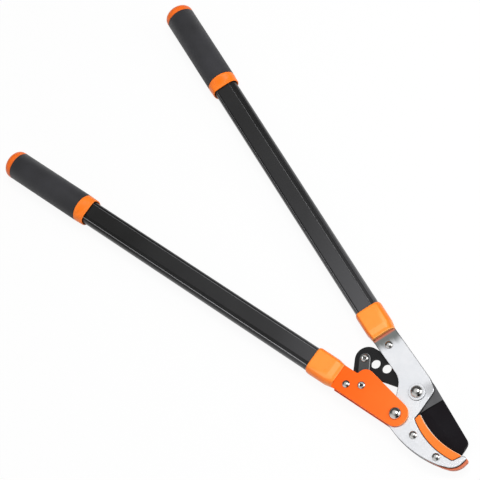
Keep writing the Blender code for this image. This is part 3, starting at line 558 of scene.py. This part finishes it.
FINISH = {
    # Ferrule: painted shade on its sides, painted highlights on its edges and its taper
    "ferrule": plastic_finish("ferrule_plastic", rgb(255, 144, 48), rgb(255, 150, 56), 0.30,
                              side=rgb(255, 128, 34), edge=rgb(255, 178, 96),
                              taper=rgb(255, 186, 112), toward=(1.0, 0.0, 0.0)),
    "ring": plastic_finish("ring_plastic", rgb(255, 124, 30), rgb(255, 130, 36), 0.42),
    "cap": plastic_finish("cap_plastic", rgb(240, 106, 26), rgb(248, 114, 32), 0.42),
    # Pad: painted highlight on its edges that face the light
    "pad": plastic_finish("pad_plastic", rgb(246, 120, 34), rgb(252, 126, 40), 0.36,
                          edge=rgb(255, 196, 150)),
    # Web between the plates: a duller, darker copy of the pad's colour, as painted shade
    "web": plastic_finish("web_plastic", rgb(208, 112, 78), rgb(218, 120, 84), 0.45),
    "paint": lever_paint_finish(),
    "coat": tube_coat_finish("tube_coat"),
    "groove": tube_coat_finish("groove_coat", True),
    "grip": soft_grip_finish(),
    "plate": plated_sheet_finish(),
    "bright": bright_steel_finish(),
    # Link: painted highlight on its edges that face the light
    "link": dark_steel_finish("link_steel", rgb(66, 67, 67), rgb(76, 77, 77),
                              edge=rgb(170, 171, 172)),
    "block": dark_steel_finish("block_steel", rgb(58, 58, 60), rgb(70, 70, 72), 0.5),
    "blade": blade_finish(),
}


# Meshes

def mark_edges(bm, limit):
    """Smooth everywhere but at edges that bend by more than a number of degrees."""
    bm.normal_update()
    for face in bm.faces:
        face.smooth = True
    for edge in bm.edges:
        if len(edge.link_faces) == 2 and edge.calc_face_angle(0.0) > math.radians(limit):
            edge.smooth = False


def add_piece(name, bm, finish, body, nodes, limit=34.0, weighted=False):
    """A mesh drawn in millimetres becomes a piece that rides on its body."""
    bmesh.ops.remove_doubles(bm, verts=bm.verts, dist=MERGE)
    bmesh.ops.dissolve_degenerate(bm, edges=bm.edges, dist=MERGE)
    bmesh.ops.recalc_face_normals(bm, faces=bm.faces)
    bmesh.ops.scale(bm, vec=(MM, MM, MM), verts=bm.verts)
    mark_edges(bm, limit)
    obj = mesh_object(name, bm)
    for key in [finish] if isinstance(finish, str) else finish:
        obj.data.materials.append(FINISH[key])
    obj.location = PIVOT
    if weighted:
        obj.modifiers.new("even_normals", "WEIGHTED_NORMAL").keep_sharp = True
    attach(obj, body)
    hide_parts(*nodes)


def as_object(name, data):
    obj = bpy.data.objects.new(name, data)
    bpy.context.scene.collection.objects.link(obj)
    return obj


def mesh_object(name, bm):
    mesh = bpy.data.meshes.new(name)
    bm.to_mesh(mesh)
    bm.free()
    return as_object(name, mesh)


def final_mesh(obj, *helpers):
    """Mesh of an object with its modifiers applied; the object and its helpers go."""
    bpy.context.view_layer.update()
    graph = bpy.context.evaluated_depsgraph_get()
    mesh = bpy.data.meshes.new_from_object(obj.evaluated_get(graph))
    for spent in (obj, *helpers):
        bpy.data.objects.remove(spent)
    bm = bmesh.new()
    bm.from_mesh(mesh)
    bpy.data.meshes.remove(mesh)
    return bm


def plate_mesh(outline, holes, low, high, edge, segments=4):
    """Sheet piece with rolled edges, from a filled flat curve with its holes."""
    curve = bpy.data.curves.new("drawing", "CURVE")
    curve.dimensions, curve.fill_mode = "2D", "BOTH"
    curve.extrude = (high - low) / 2 - edge
    curve.bevel_depth = edge
    curve.bevel_resolution = segments - 1
    curve.offset = -edge
    area = sum(a[0] * b[1] - b[0] * a[1] for a, b in zip(outline, outline[1:] + outline[:1]))
    runs = [outline if area > 0 else outline[::-1]]
    runs += [circle(spot, radius)[::-1] for spot, radius in holes]
    for run in runs:
        line = curve.splines.new("POLY")
        line.points.add(len(run) - 1)
        for point, (x, y) in zip(line.points, run):
            point.co = (x, y, 0.0, 1.0)
        line.use_cyclic_u = True
    bm = final_mesh(as_object("drawing", curve))
    bpy.data.curves.remove(curve)
    bmesh.ops.remove_doubles(bm, verts=bm.verts, dist=MERGE)
    bmesh.ops.translate(bm, verts=bm.verts, vec=(0.0, 0.0, (low + high) / 2))
    return bm


def plate_pair(name, outline, holes, low, high, edge, finish, body, node):
    """The same sheet piece in front of the middle plane and behind it."""
    for side, bottom, top in (("front", low, high), ("back", -high, -low)):
        bm = plate_mesh(outline, holes, bottom, top, edge)
        add_piece(name + side, bm, finish, body, [node + side], limit=50.0, weighted=True)


def lathe_mesh(profile, centre, steps=64, closed=False):
    """Turned piece: (radius, height) points spun about an upright axis."""
    bm = bmesh.new()
    rows = [[bm.verts.new((x, y, z)) for x, y in circle(centre, radius, steps)]
            for radius, z in profile]
    join_rows(bm, rows, closed)
    bmesh.ops.remove_doubles(bm, verts=bm.verts, dist=MERGE)
    return bm


def join_rows(bm, rows, closed):
    """Faces between each row of points and the next, if closed also from last to first."""
    pairs = list(zip(rows, rows[1:]))
    if closed:
        pairs.append((rows[-1], rows[0]))
    size = len(rows[0])
    for low, high in pairs:
        for i in range(size):
            j = (i + 1) % size
            bm.faces.new((low[i], low[j], high[j], high[i]))


def skin_mesh(rings, matrix, closed):
    """A skin over rings of points, ended by two caps or closed on itself."""
    bm = bmesh.new()
    rows = [[bm.verts.new(point) for point in ring] for ring in rings]
    join_rows(bm, rows, closed)
    if not closed:
        bm.faces.new(rows[0])
        bm.faces.new(rows[-1])
    bmesh.ops.transform(bm, matrix=matrix, verts=bm.verts)
    return bm


# Sections of a handle, as (outward, height) points

SIDE_STEPS, PANEL_STEPS = 20, 8
# Points across a groove, as shares of its width and of its depth
GROOVE_SHAPE = [(0.0, 0.0), (0.07, 0.5), (0.16, 0.95), (0.55, 1.0), (0.84, 0.9), (0.93, 0.4)]


def groove(start, width, top, lip, cut):
    """Points across one drawn groove, from the lip of the round side to the panel's edge."""
    return [(start - width * x, top - lip * (1 - x) - cut * deep) for x, deep in GROOVE_SHAPE]


def section(half_w, half_h, inner, outer, cut=0.0, power=2.0, lip=0.0, widths=(2.0, 2.0)):
    """Flat panels front and back between grooves, a tight inner side and a fuller outer one.

    A power of 2 makes the sides round, a higher one squarer. The grooves have a depth,
    cut, and widths, and their outer lip lies lower than the panel.
    """
    halves = []
    for start, width in ((outer, widths[1]), (inner, widths[0])):
        half = []
        for k in range(SIDE_STEPS):
            t = math.pi / 2 * k / SIDE_STEPS
            bulge = (half_w - start) * math.cos(t) ** (2 / power)
            half.append((start + bulge, (half_h - lip) * math.sin(t) ** (2 / power)))
        halves.append(half + groove(start, width, half_h, lip, cut))
    near, far = outer - widths[1], widths[0] - inner
    panel = [(near + (far - near) * k / PANEL_STEPS, half_h) for k in range(PANEL_STEPS + 1)]
    top = halves[0] + panel + [(-n, z) for n, z in reversed(halves[1])]
    return top + [(n, -z) for n, z in reversed(top[1:-1])]


def groove_steps():
    """Numbers of the outline's steps that lie in its four grooves."""
    size = len(GROOVE_SHAPE)
    half = 2 * (SIDE_STEPS + size) + PANEL_STEPS + 1
    firsts = (SIDE_STEPS, SIDE_STEPS + size + PANEL_STEPS)
    steps = [first + k for first in firsts for k in range(size)]
    return set(steps + [2 * half - 3 - step for step in steps])


def tube_outline(grow=0.0, cut=0.0):
    return section(TUBE_W / 2 + grow, TUBE_H / 2 + grow, *GROOVE_START, cut, 2.0, LIP_DROP,
                   GROOVE_W)


def tube_bore(wall):
    """Inside of the tube, some millimetres in from its outside."""
    return section(TUBE_W / 2 - wall, TUBE_H / 2 - wall, PANEL_INNER - wall / 2,
                   PANEL_OUTER - wall / 2)


def turned(radius):
    """Round outline with one point opposite each point of the tube's outline."""
    return around((0.0, 0.0), radius, [math.atan2(z, n) for n, z in tube_outline()])


def blend(first, second, share):
    return [(a + (c - a) * share, b + (d - b) * share) for (a, b), (c, d) in zip(first, second)]


def at(along, outline):
    """Ring of points that an outline makes at a distance along the handle."""
    return [(along, n, z) for n, z in outline]


def ease(first, second, start, end, shape, steps=8):
    """Rings from one outline to another, their change shaped along the way."""
    return [at(start + (end - start) * t, blend(first, second, shape(t)))
            for t in [k / steps for k in range(steps + 1)]]


def quick_then_slow(t):
    return math.sqrt(max(0.0, 1 - (1 - t) ** 2))


def slow_then_quick(t):
    return 1 - math.sqrt(max(0.0, 1 - t * t))


def gentle(t):
    return t * t * (3 - 2 * t)


def grip_places(side):
    """Where a grip's ring ends, its sleeve starts and its cap starts."""
    ring_end = -TUBE_BARE[side]
    return ring_end, ring_end - RING_L, ring_end - RING_L - SLEEVE_L


# Handle pieces

def add_to_handle(side, name, rings, finish, node, closed=True):
    bm = skin_mesh(rings, handle_matrix(side), closed)
    add_piece(side + name, bm, finish, BODY_OF[side], [side + node])


def make_tube(side):
    back, front = grip_places(side)[2] + 1.0, TUBE_MOUTH
    outer, inner = tube_outline(cut=GROOVE_DEEP), tube_bore(TUBE_WALL)
    rings = [at(back, outer), at(front, outer), at(front, inner), at(back, inner)]
    bm = skin_mesh(rings, handle_matrix(side), True)
    in_groove = groove_steps()
    for k, face in enumerate(bm.faces):
        face.material_index = int(k < len(outer) and k in in_groove)
    add_piece(side + "_tube_shell", bm, ["coat", "groove"], BODY_OF[side], [side + "_tube"],
              limit=20.0)


def make_ferrule(side, slot_in, slot_out, slot_h):
    """Shell over the tube's end that tapers to the head, with a slot for the tang."""
    bore, slot_play, slot_deep = tube_outline(grow=PLAY), 0.6, 10.0
    mid, half = (slot_out - slot_in) / 2, (slot_out + slot_in) / 2 + slot_play
    slot = section(half, slot_h + PLAY, half - slot_play, half - slot_play, power=8.0)
    slot = [(n + mid, z) for n, z in slot]
    wide, end = (section(w / 2, h / 2, PANEL_INNER, PANEL_OUTER, power=2.4)
                 for w, h in ((FERRULE_W, FERRULE_H), (FERRULE_END_W, FERRULE_END_H)))
    rim = blend(wide, bore, 0.55)
    front = blend(end, slot, 0.18)
    taper, steps, lead = FERRULE_L - FERRULE_TAPER, 14, 1.35
    rings = ease(rim, wide, 0.0, 3.4, quick_then_slow, 9)
    for k in range(1, steps + 1):
        t = k / steps
        widths, heights = blend(wide, end, t), blend(wide, end, min(1.0, lead * t))
        outline = [(width[0], height[1]) for width, height in zip(widths, heights)]
        rings.append(at(taper + (FERRULE_TAPER - 1.0) * t, outline))
    rings += ease(end, front, FERRULE_L - 0.9, FERRULE_L, slow_then_quick, 6)
    rings += [at(FERRULE_L, slot), at(FERRULE_L - slot_deep, slot), at(TUBE_MOUTH + PLAY, bore),
              at(0.8, bore), at(0.0, blend(bore, rim, 0.35))]
    add_to_handle(side, "_ferrule_shell", rings, "ferrule", "_ferrule")


def make_grip_ring(side):
    """Moulding that ends in a ring before the sleeve and goes on as a core inside it."""
    ring_end, sleeve_start, sleeve_end = grip_places(side)
    core_end, radius = sleeve_end + PLAY, SLEEVE_D / 2
    under, full = turned(radius - SLEEVE_WALL - PLAY), turned(radius)
    flat = section(RING_END_W / 2, RING_END_H / 2, PANEL_INNER, PANEL_OUTER)
    mouth, bore = tube_outline(grow=1.2), tube_outline(grow=PLAY)
    chamfer = blend(flat, mouth, 0.42)
    rings = [at(core_end, under), at(sleeve_start, under),
             at(sleeve_start, blend(full, under, 0.2))]
    rings += ease(full, flat, sleeve_start + 0.4, ring_end - 1.6, gentle, 14)
    rings += ease(flat, chamfer, ring_end - 1.5, ring_end, slow_then_quick, 7)
    rings += [at(ring_end - 0.2, mouth), at(ring_end - 4.0, bore), at(core_end, bore)]
    add_to_handle(side, "_grip_ring", rings, "ring", "_grip_core")


def make_sleeve(side):
    start, end = grip_places(side)[1:]
    low, high, outer, inner = end + PLAY, start - PLAY, SLEEVE_D / 2, SLEEVE_D / 2 - SLEEVE_WALL
    roll, bend = 0.5, 0.15
    profile = [(low, outer - roll), (low + bend, outer - bend), (low + roll, outer),
               (high - roll, outer), (high - bend, outer - bend), (high, outer - roll),
               (high, inner), (low, inner)]
    rings = [at(along, circle((0.0, 0.0), radius, 96)) for along, radius in profile]
    add_to_handle(side, "_soft_sleeve", rings, "grip", "_grip_sleeve")


def make_cap(side):
    """Domed cap with a straight band and a plug that sits in the tube."""
    start = grip_places(side)[2]
    radius, band, rise = SLEEVE_D / 2, start - CAP_BAND, CAP_L - CAP_BAND
    plug, plug_l, roll, steps, fullness = tube_bore(TUBE_WALL + PLAY), 10.0, 0.4, 21, 0.75
    rings = [at(start + plug_l, plug), at(start, plug), at(start, turned(radius - roll)),
             at(start - roll, turned(radius)), at(band, turned(radius))]
    for k in range(1, steps):
        t = math.pi / 2 * k / steps
        rings.append(at(band - rise * math.sin(t), turned(radius * math.cos(t) ** fullness)))
    add_to_handle(side, "_cap_dome", rings, "cap", "_end_cap", False)


def make_handle(side, slot_in, slot_out, slot_h):
    make_tube(side)
    make_ferrule(side, slot_in, slot_out, slot_h)
    make_grip_ring(side)
    make_sleeve(side)
    make_cap(side)


# Head plates

# Reaches from the handle's axis; TANG_DEEP is how far a tang goes into the tube
NECK_INNER, NECK_OUTER = 12.0, 10.6
TANG_INNER, TANG_OUTER, TANG_DEEP = 10.5, 8.5, 15.0
LEVER_TANG_INNER, LEVER_TANG_OUTER = 11.5, 8.8
PLATE_HALF_W, LEVER_HALF_W = 14.2, 13.6
STEP = 26.1  # along the handle, where a tang meets its neck
SHOULDER = FERRULE_L + PLAY
ANVIL_EYE_R, LEVER_EYE_R, LINK_EYE_R = 14.2, 14.3, 6.2
NEARLY = 0.98  # share of a full radius with which two corners in a row still fit


def anvil_outline():
    left, low = LEVER_PIVOT[0] - ANVIL_EYE_R, LEVER_PIVOT[1] - ANVIL_EYE_R
    seat = arc(SEAT_CENTRE, SEAT_RADIUS, SEAT_END, SEAT_START, 30)
    belly_start, belly_end = (4.0, low), (76.0, -39.1)
    belly = arc(*circle_through(belly_start, (40.0, -48.9), belly_end), belly_start, belly_end, 24)
    return rounded([
        *corners("upper", (-TANG_DEEP, -TANG_INNER, 0.0), (STEP, -TANG_INNER, 0.0),
                 (STEP, -NECK_INNER, 0.0), (SHOULDER, -NECK_INNER, 0.0),
                 (SHOULDER, -PLATE_HALF_W, 1.5)),
        (-25.5, -3.2, 22.0),
        (left, -20.5, 12.0),
        (left, low, ANVIL_EYE_R * NEARLY),
        *sharp(belly),
        (92.3, -29.4, 17.0),
        (92.6, -11.2, 3.0),
        (86.9, -13.1, 1.4),
        (82.7, -25.7, 4.0),
        *sharp(seat),
        (19.0, -15.0, 2.0),
        (12.8, 15.0, 7.5),
        (-2.0, 21.2, 10.0),
        *corners("upper", (SHOULDER, PLATE_HALF_W, 1.5), (SHOULDER, NECK_OUTER, 0.0),
                 (STEP, NECK_OUTER, 0.0), (STEP, TANG_OUTER, 0.0), (-TANG_DEEP, TANG_OUTER, 0.0)),
    ])


def make_anvil_plates():
    holes = [((0.0, 0.0), PIVOT_HOLE), (LEVER_PIVOT, PIVOT_HOLE), (ANVIL_TANG_RIVET, RIVET_HOLE),
             *PAD_HOLES]
    plate_pair("anvil_cheek_", anvil_outline(), holes, PLATE_LOW, PLATE_HIGH, 1.1, "plate",
               "anvil", "anvil_plate_")


def make_pad():
    """Lip that the edge lands on, between the plates, and the web behind it up to the nose."""
    top_r = EDGE_RADIUS + PLAY
    top = arc(EDGE_CENTRE, top_r, (20.2, -14.2), (85.8, -13.7), 36)
    low = arc(SEAT_CENTRE, SEAT_RADIUS - PLAY, SEAT_END, (22.0, -21.9), 30)
    lip = rounded([
        (20.2, -14.2, 1.1), *sharp(top[1:-3]), (86.2, -14.0, 1.2), (82.3, -25.4, 3.5),
        *sharp(low), (20.2, -21.9, 1.2),
    ])
    under = arc(EDGE_CENTRE, top_r + 1.6, (21.0, -16.0), (83.5, -16.0), 24)
    web = rounded([
        *sharp(under), (88.0, -13.9, 2.0), (95.0, -11.4, 2.8), (95.0, -30.0, 18.0),
        (78.8, -38.6, 30.0), (58.0, -45.4, 40.0), (34.0, -44.0, 12.0), (21.5, -33.0, 8.0),
    ])
    bm = plate_mesh(lip, [], -PLATE_HIGH, PLATE_HIGH, 0.95, 5)
    more = plate_mesh(web, PAD_HOLES, -BLADE_HALF, BLADE_HALF, 0.4)
    for face in more.faces:
        face.material_index = 1
    carrier = bpy.data.meshes.new("carrier")
    more.to_mesh(carrier)
    more.free()
    bm.from_mesh(carrier)
    bpy.data.meshes.remove(carrier)
    add_piece("anvil_pad_moulding", bm, ["pad", "web"], "anvil", ["anvil_pad"],
              50.0, True)


def blade_outline():
    edge = arc(EDGE_CENTRE, EDGE_RADIUS, EDGE_HEEL, EDGE_TIP, 40)
    return rounded([
        *sharp(edge), (80.2, 1.2, 8.0), (2.5, 20.2, 18.0), (-95.4, -4.4, 15.0),
        (-66.0, -38.2, 7.0), (-41.1, -19.8, 20.0), (-20.0, -10.1, 4.0), (-13.5, -16.5, 8.0),
        (6.0, -21.2, 12.0),
    ])


def grind_tool(side):
    """Cut that thins the blade to its curved edge and runs out past the heel."""
    heel, tip = (math.atan2(y - EDGE_CENTRE[1], x - EDGE_CENTRE[0])
                 for x, y in (EDGE_HEEL, EDGE_TIP))
    run_out, tall, beyond = math.radians(5.0), 5.0, 12.0
    start, end, steps = heel - run_out, tip + run_out, 72
    slope = 2.3 / 8.5  # depth of the grind over its width
    clear, sunk = 2.8, 2.6  # height of the cut where it runs out, and how far it goes down
    bm = bmesh.new()
    rows = []
    for k in range(steps + 1):
        a = start + (end - start) * k / steps
        share = min(1.0, (a - start) / run_out)
        land = clear - sunk * (1 - (1 - share) ** 2)
        profile = [(EDGE_RADIUS - (tall - land) / slope, tall), (EDGE_RADIUS, land),
                   (EDGE_RADIUS + beyond, land), (EDGE_RADIUS + beyond, tall)]
        rows.append([bm.verts.new((*around(EDGE_CENTRE, r, [a])[0], side * z))
                     for r, z in profile])
    join_rows(bm, rows, False)
    bm.faces.new(rows[0])
    bm.faces.new(rows[-1])
    bmesh.ops.recalc_face_normals(bm, faces=bm.faces)
    return mesh_object("grind_tool", bm)


def make_blade():
    holes = [((0.0, 0.0), PIVOT_HOLE)]
    holes += [(around(NOTCH_OUTER, NOTCH_PITCH * k, [NOTCH_SLOPE])[0], NOTCH_R)
              for k in range(NOTCHES)]
    blank = mesh_object("blank", plate_mesh(blade_outline(), holes, -BLADE_HALF, BLADE_HALF, 0.3))
    tools = [grind_tool(1.0), grind_tool(-1.0)]
    for tool in tools:
        cut = blank.modifiers.new("grind", "BOOLEAN")
        cut.operation, cut.solver, cut.object = "DIFFERENCE", "EXACT", tool
    add_piece("ground_blade", final_mesh(blank, *tools), "blade", "blade", ["blade"],
              limit=28.0, weighted=True)


def lever_outline():
    """Strap from the ferrule to the eye, with its top edge level with the eye's."""
    (px, py), radius = LEVER_PIVOT, LEVER_EYE_R
    c, s = math.cos(HANDLE_ANGLE), math.sin(HANDLE_ANGLE)
    start = HANDLE_START["lower"]
    outer = (px - start[0]) * s - (py - start[1]) * c + radius
    along = (px + radius - start[0] - outer * s) / c
    return rounded([
        *corners("lower", (STEP, LEVER_TANG_OUTER, 1.5), (SHOULDER, LEVER_TANG_OUTER, 0.0),
                 (SHOULDER, outer, 1.2), (along, outer, radius * NEARLY)),
        (px + radius, py + radius, radius * NEARLY),
        (LINK_PIVOT[0] - LEVER_HALF_W, py + radius - PLAY, 10.5),
        *corners("lower", (54.0, -LEVER_HALF_W, 2.0), (SHOULDER, -LEVER_HALF_W, 1.2),
                 (SHOULDER, -LEVER_TANG_INNER, 0.0), (STEP, -LEVER_TANG_INNER, 1.5)),
    ])


def make_lever_plates():
    holes = [(LEVER_PIVOT, PIVOT_HOLE), (LINK_PIVOT, LINK_HOLE), (LEVER_TANG_RIVET, RIVET_HOLE)]
    plate_pair("lever_cheek_", lever_outline(), holes, LEVER_LOW, LEVER_HIGH, 0.8, "paint",
               "lever", "lever_plate_")


def make_links():
    p, q = Vector(LINK_PIVOT), Vector(LINK_PIN)
    way = (q - p).normalized() * LINK_EYE_R
    side = Vector((-way.y, way.x))
    ends = [p - way - side, p - way + side, q + way + side, q + way - side]
    outline = rounded([(v.x, v.y, LINK_EYE_R * NEARLY) for v in ends])
    plate_pair("link_bar_", outline, [(LINK_PIVOT, LINK_HOLE), (LINK_PIN, PIN_HOLE)], LINK_LOW,
               LINK_HIGH, 0.7, "link", "link", "link_plate_")


# Fasteners

def dome(radius, rise, base, steps=14):
    """Half profile of a domed head, from its crown down to its base."""
    rim = rise * 0.15
    crown = [(radius * math.sin(t), base + rim + (rise - rim) * math.cos(t))
             for t in [math.pi / 2 * k / steps for k in range(steps + 1)]]
    return crown + [(radius, base)]


def make_rivet(name, spot, body, node, head, grip):
    head_r, head_h, shank_r = head
    top = dome(head_r, head_h, grip)
    profile = top + [(shank_r, grip), (shank_r, -grip)] + [(r, -z) for r, z in reversed(top)]
    add_piece(name, lathe_mesh(profile, spot), "bright", body, [node])


def make_hollow_rivet(name, spot, body, node, grip, neck, shoulder=None):
    """Rivet with a bore through it; a shoulder is the thicker stretch inside the blade."""
    r, h, bore = 4.3, 1.6, 1.3
    half = [(bore, 0.0), (bore, grip + h * 0.45), (bore + 0.25, grip + h * 0.75),
            (bore + 0.7, grip + h * 0.95)]
    half += [(r * (0.62 + 0.38 * math.sin(t)), grip + h * (0.30 + 0.70 * math.cos(t)))
             for t in [math.pi / 2 * k / 9 for k in range(10)]]
    half += [(r, grip), (neck, grip)]
    if shoulder is not None:
        half += [(neck, BLADE_HALF), (shoulder, BLADE_HALF)]
    profile = half + [(x, -z) for x, z in reversed(half[1:])]
    add_piece(name, lathe_mesh(profile, spot, closed=True), "bright", body, [node])


def make_washer(name, node, low, high):
    inner, outer, roll, lift = PIVOT_HOLE, 9.6, 0.35, 0.2
    profile = [(inner, low), (inner, high - roll), (inner + roll, high), (outer - roll, high)]
    profile += [(outer - roll + roll * math.sin(t), high - roll + roll * math.cos(t))
                for t in [math.pi / 2 * k / 5 for k in range(1, 6)]]
    profile += [(outer, low + lift), (outer - lift, low)]
    add_piece(name, lathe_mesh(profile, (0.0, 0.0), 96, True), "plate", "anvil", [node])


def make_nut(low, high):
    half_flat, roll = 8.5, 0.5
    corners = circle((0.0, 0.0), half_flat / math.cos(math.pi / 6), 6)
    hexagon = rounded([(x, y, roll) for x, y in corners], 20.0)
    bm = plate_mesh(hexagon, [((0.0, 0.0), PIVOT_HOLE)], low, high, roll)
    add_piece("pivot_hex_nut", bm, "bright", "anvil", ["pivot_nut"], 40.0, True)


def make_fasteners():
    on_plate, on_lever, on_link = PLATE_HIGH + PLAY, LEVER_HIGH + PLAY, LINK_HIGH + PLAY
    washer_top, nut_h, thread_past, chamfer = PLATE_HIGH + 1.5, 6.5, 1.5, 0.6
    base = washer_top + PLAY
    make_washer("pivot_ring_front", "pivot_washer_front", on_plate, washer_top)
    make_washer("pivot_ring_back", "pivot_washer_back", -washer_top, -on_plate)
    head_r, head_h, shank_r = PIVOT_HEAD
    end = -(base + nut_h + thread_past)
    bolt = dome(head_r, head_h, base, 18)
    bolt += [(shank_r, base), (shank_r, end + chamfer), (shank_r - chamfer, end), (0.0, end)]
    add_piece("pivot_dome_bolt", lathe_mesh(bolt, (0.0, 0.0), 72), "bright", "anvil",
              ["pivot_bolt"])
    make_nut(-(base + nut_h), -base)
    make_rivet("tang_rivet_upper", ANVIL_TANG_RIVET, "anvil", "anvil_tang_rivet", SMALL_HEAD,
               on_plate)
    for key, spot in PAD_RIVETS.items():
        make_rivet("pad_pin_" + key, spot, "anvil", "pad_rivet_" + key, SMALL_HEAD, on_plate)
    make_rivet("tang_rivet_lower", LEVER_TANG_RIVET, "lever", "lever_tang_rivet", SMALL_HEAD,
               on_lever)
    make_rivet("lever_pivot_dome", LEVER_PIVOT, "lever", "lever_pivot_rivet", PIVOT_HEAD, on_lever)
    make_hollow_rivet("link_tube_rivet", LINK_PIVOT, "lever", "link_rivet", on_lever, 3.0)
    make_hollow_rivet("notch_pin", LINK_PIN, "link", "link_pin", on_link, 2.7, 3.9)


def dress_kept_nodes():
    """Hidden inner pieces keep their solids and get their real finish."""
    for node in ("anvil_tang_spacer", "jaw_spacer", "lever_block"):
        materials = frame["nodes"][node].data.materials
        materials.clear()
        materials.append(FINISH["block"])


# Studio

WHITE = (1.0, 1.0, 1.0, 1.0)


def make_floor():
    """Paper: white with faint shadows to the camera, pale grey as a source of light."""
    bpy.ops.mesh.primitive_plane_add(size=8.0, location=(0.0, 0.0, 0.0))
    floor = bpy.context.object
    floor.name = "studio_floor"
    material = bpy.data.materials.new("studio_paper")
    nodes = cleared_nodes(material)
    path = nodes.add("ShaderNodeLightPath").outputs
    seen = nodes.math("MAXIMUM", path["Is Camera Ray"], path["Is Glossy Ray"])
    seen = nodes.math("MAXIMUM", seen, path["Is Transmission Ray"])
    share = nodes.math("MULTIPLY", seen, 0.93)
    paper = nodes.add("ShaderNodeBsdfDiffuse", Color=(0.86, 0.86, 0.86, 1.0)).outputs[0]
    glow = nodes.add("ShaderNodeEmission", Color=WHITE, Strength=1.0).outputs[0]
    mixed = nodes.in_order("ShaderNodeMixShader", None, share, paper, glow)
    nodes.add("ShaderNodeOutputMaterial", Surface=mixed[0])
    floor.data.materials.append(material)


# Soft patches of the surroundings: a direction, the cosines at which they begin and are full,
# and a strength
AIR = 0.08
PATCHES = [
    ((-0.34, 0.06, 0.94), 0.86, 0.998, 0.64),
    ((0.00, -0.85, 0.45), 0.60, 0.92, 0.60),
    ((0.62, 0.50, 0.60), 0.88, 0.97, 0.80),
    ((0.90, -0.20, 0.38), 0.70, 0.95, -0.07),
    ((-0.04, 0.33, 0.94), 0.974, 0.990, 3.6),
]


def make_world():
    """White for the camera; for light and reflections dim surroundings with a few soft patches."""
    world = bpy.data.worlds.new("studio_air")
    bpy.context.scene.world = world
    nodes = cleared_nodes(world)
    way = nodes.own("Generated")
    air = AIR
    for centre, wide, tight, strength in PATCHES:
        close = nodes.vectors("DOT_PRODUCT", way, Vector(centre).normalized())
        air = nodes.math("ADD", nodes.remap(close, wide, tight, 0.0, strength), air)
    tint = nodes.add("ShaderNodeCombineColor", Red=air, Green=air, Blue=air).outputs[0]
    camera = nodes.add("ShaderNodeLightPath").outputs["Is Camera Ray"]
    colour = nodes.mix(camera, tint, WHITE)
    back = nodes.add("ShaderNodeBackground", Color=colour, Strength=1.0).outputs[0]
    nodes.add("ShaderNodeOutputWorld", Surface=back)


LAMP_AWAY = 1.9


def make_lamp(name, way, size, radiance, mirrored):
    """Soft box of a given brightness, seen from the blade pivot along a direction."""
    data = bpy.data.lights.new(name, "AREA")
    data.shape, data.size, data.size_y = "RECTANGLE", size[0], size[1]
    data.energy = radiance * math.pi * size[0] * size[1]
    lamp = as_object(name, data)
    way = Vector(way).normalized()
    lamp.location = PIVOT + way * LAMP_AWAY
    lamp.visible_glossy = mirrored
    lamp.rotation_euler = (-way).to_track_quat("-Z", "Y").to_euler()


def make_studio():
    make_floor()
    make_world()
    make_lamp("key_box", (0.01, 0.24, 0.97), (0.72, 0.95), 10.8, False)
    make_lamp("side_box", (0.45, 0.70, 0.55), (0.90, 0.70), 4.5, True)


def make_camera():
    """Camera of the photograph, placed from the blade pivot."""
    data = bpy.data.cameras.new("photo_camera")
    data.sensor_width, data.lens = 36.0, 129.34
    data.clip_start, data.clip_end = 0.05, 20.0
    camera = as_object("photo_camera", data)
    right = Vector((0.6238008, 0.7274390, -0.2858409))
    up = Vector((-0.6321237, 0.6846508, 0.3628676))
    back = right.cross(up).normalized()
    eye = PIVOT + Vector((0.637372, -0.112479, 1.783983))
    turn = Matrix((right, up, back)).transposed().to_4x4()
    camera.matrix_world = Matrix.Translation(eye) @ turn
    bpy.context.scene.camera = camera


make_anvil_plates()
make_pad()
make_blade()
make_lever_plates()
make_links()
make_fasteners()
make_handle("upper", NECK_INNER, NECK_OUTER, PLATE_HIGH)
make_handle("lower", LEVER_TANG_INNER, LEVER_TANG_OUTER, LEVER_HIGH)
dress_kept_nodes()
make_studio()
make_camera()
bpy.context.scene.view_settings.view_transform = "Standard"
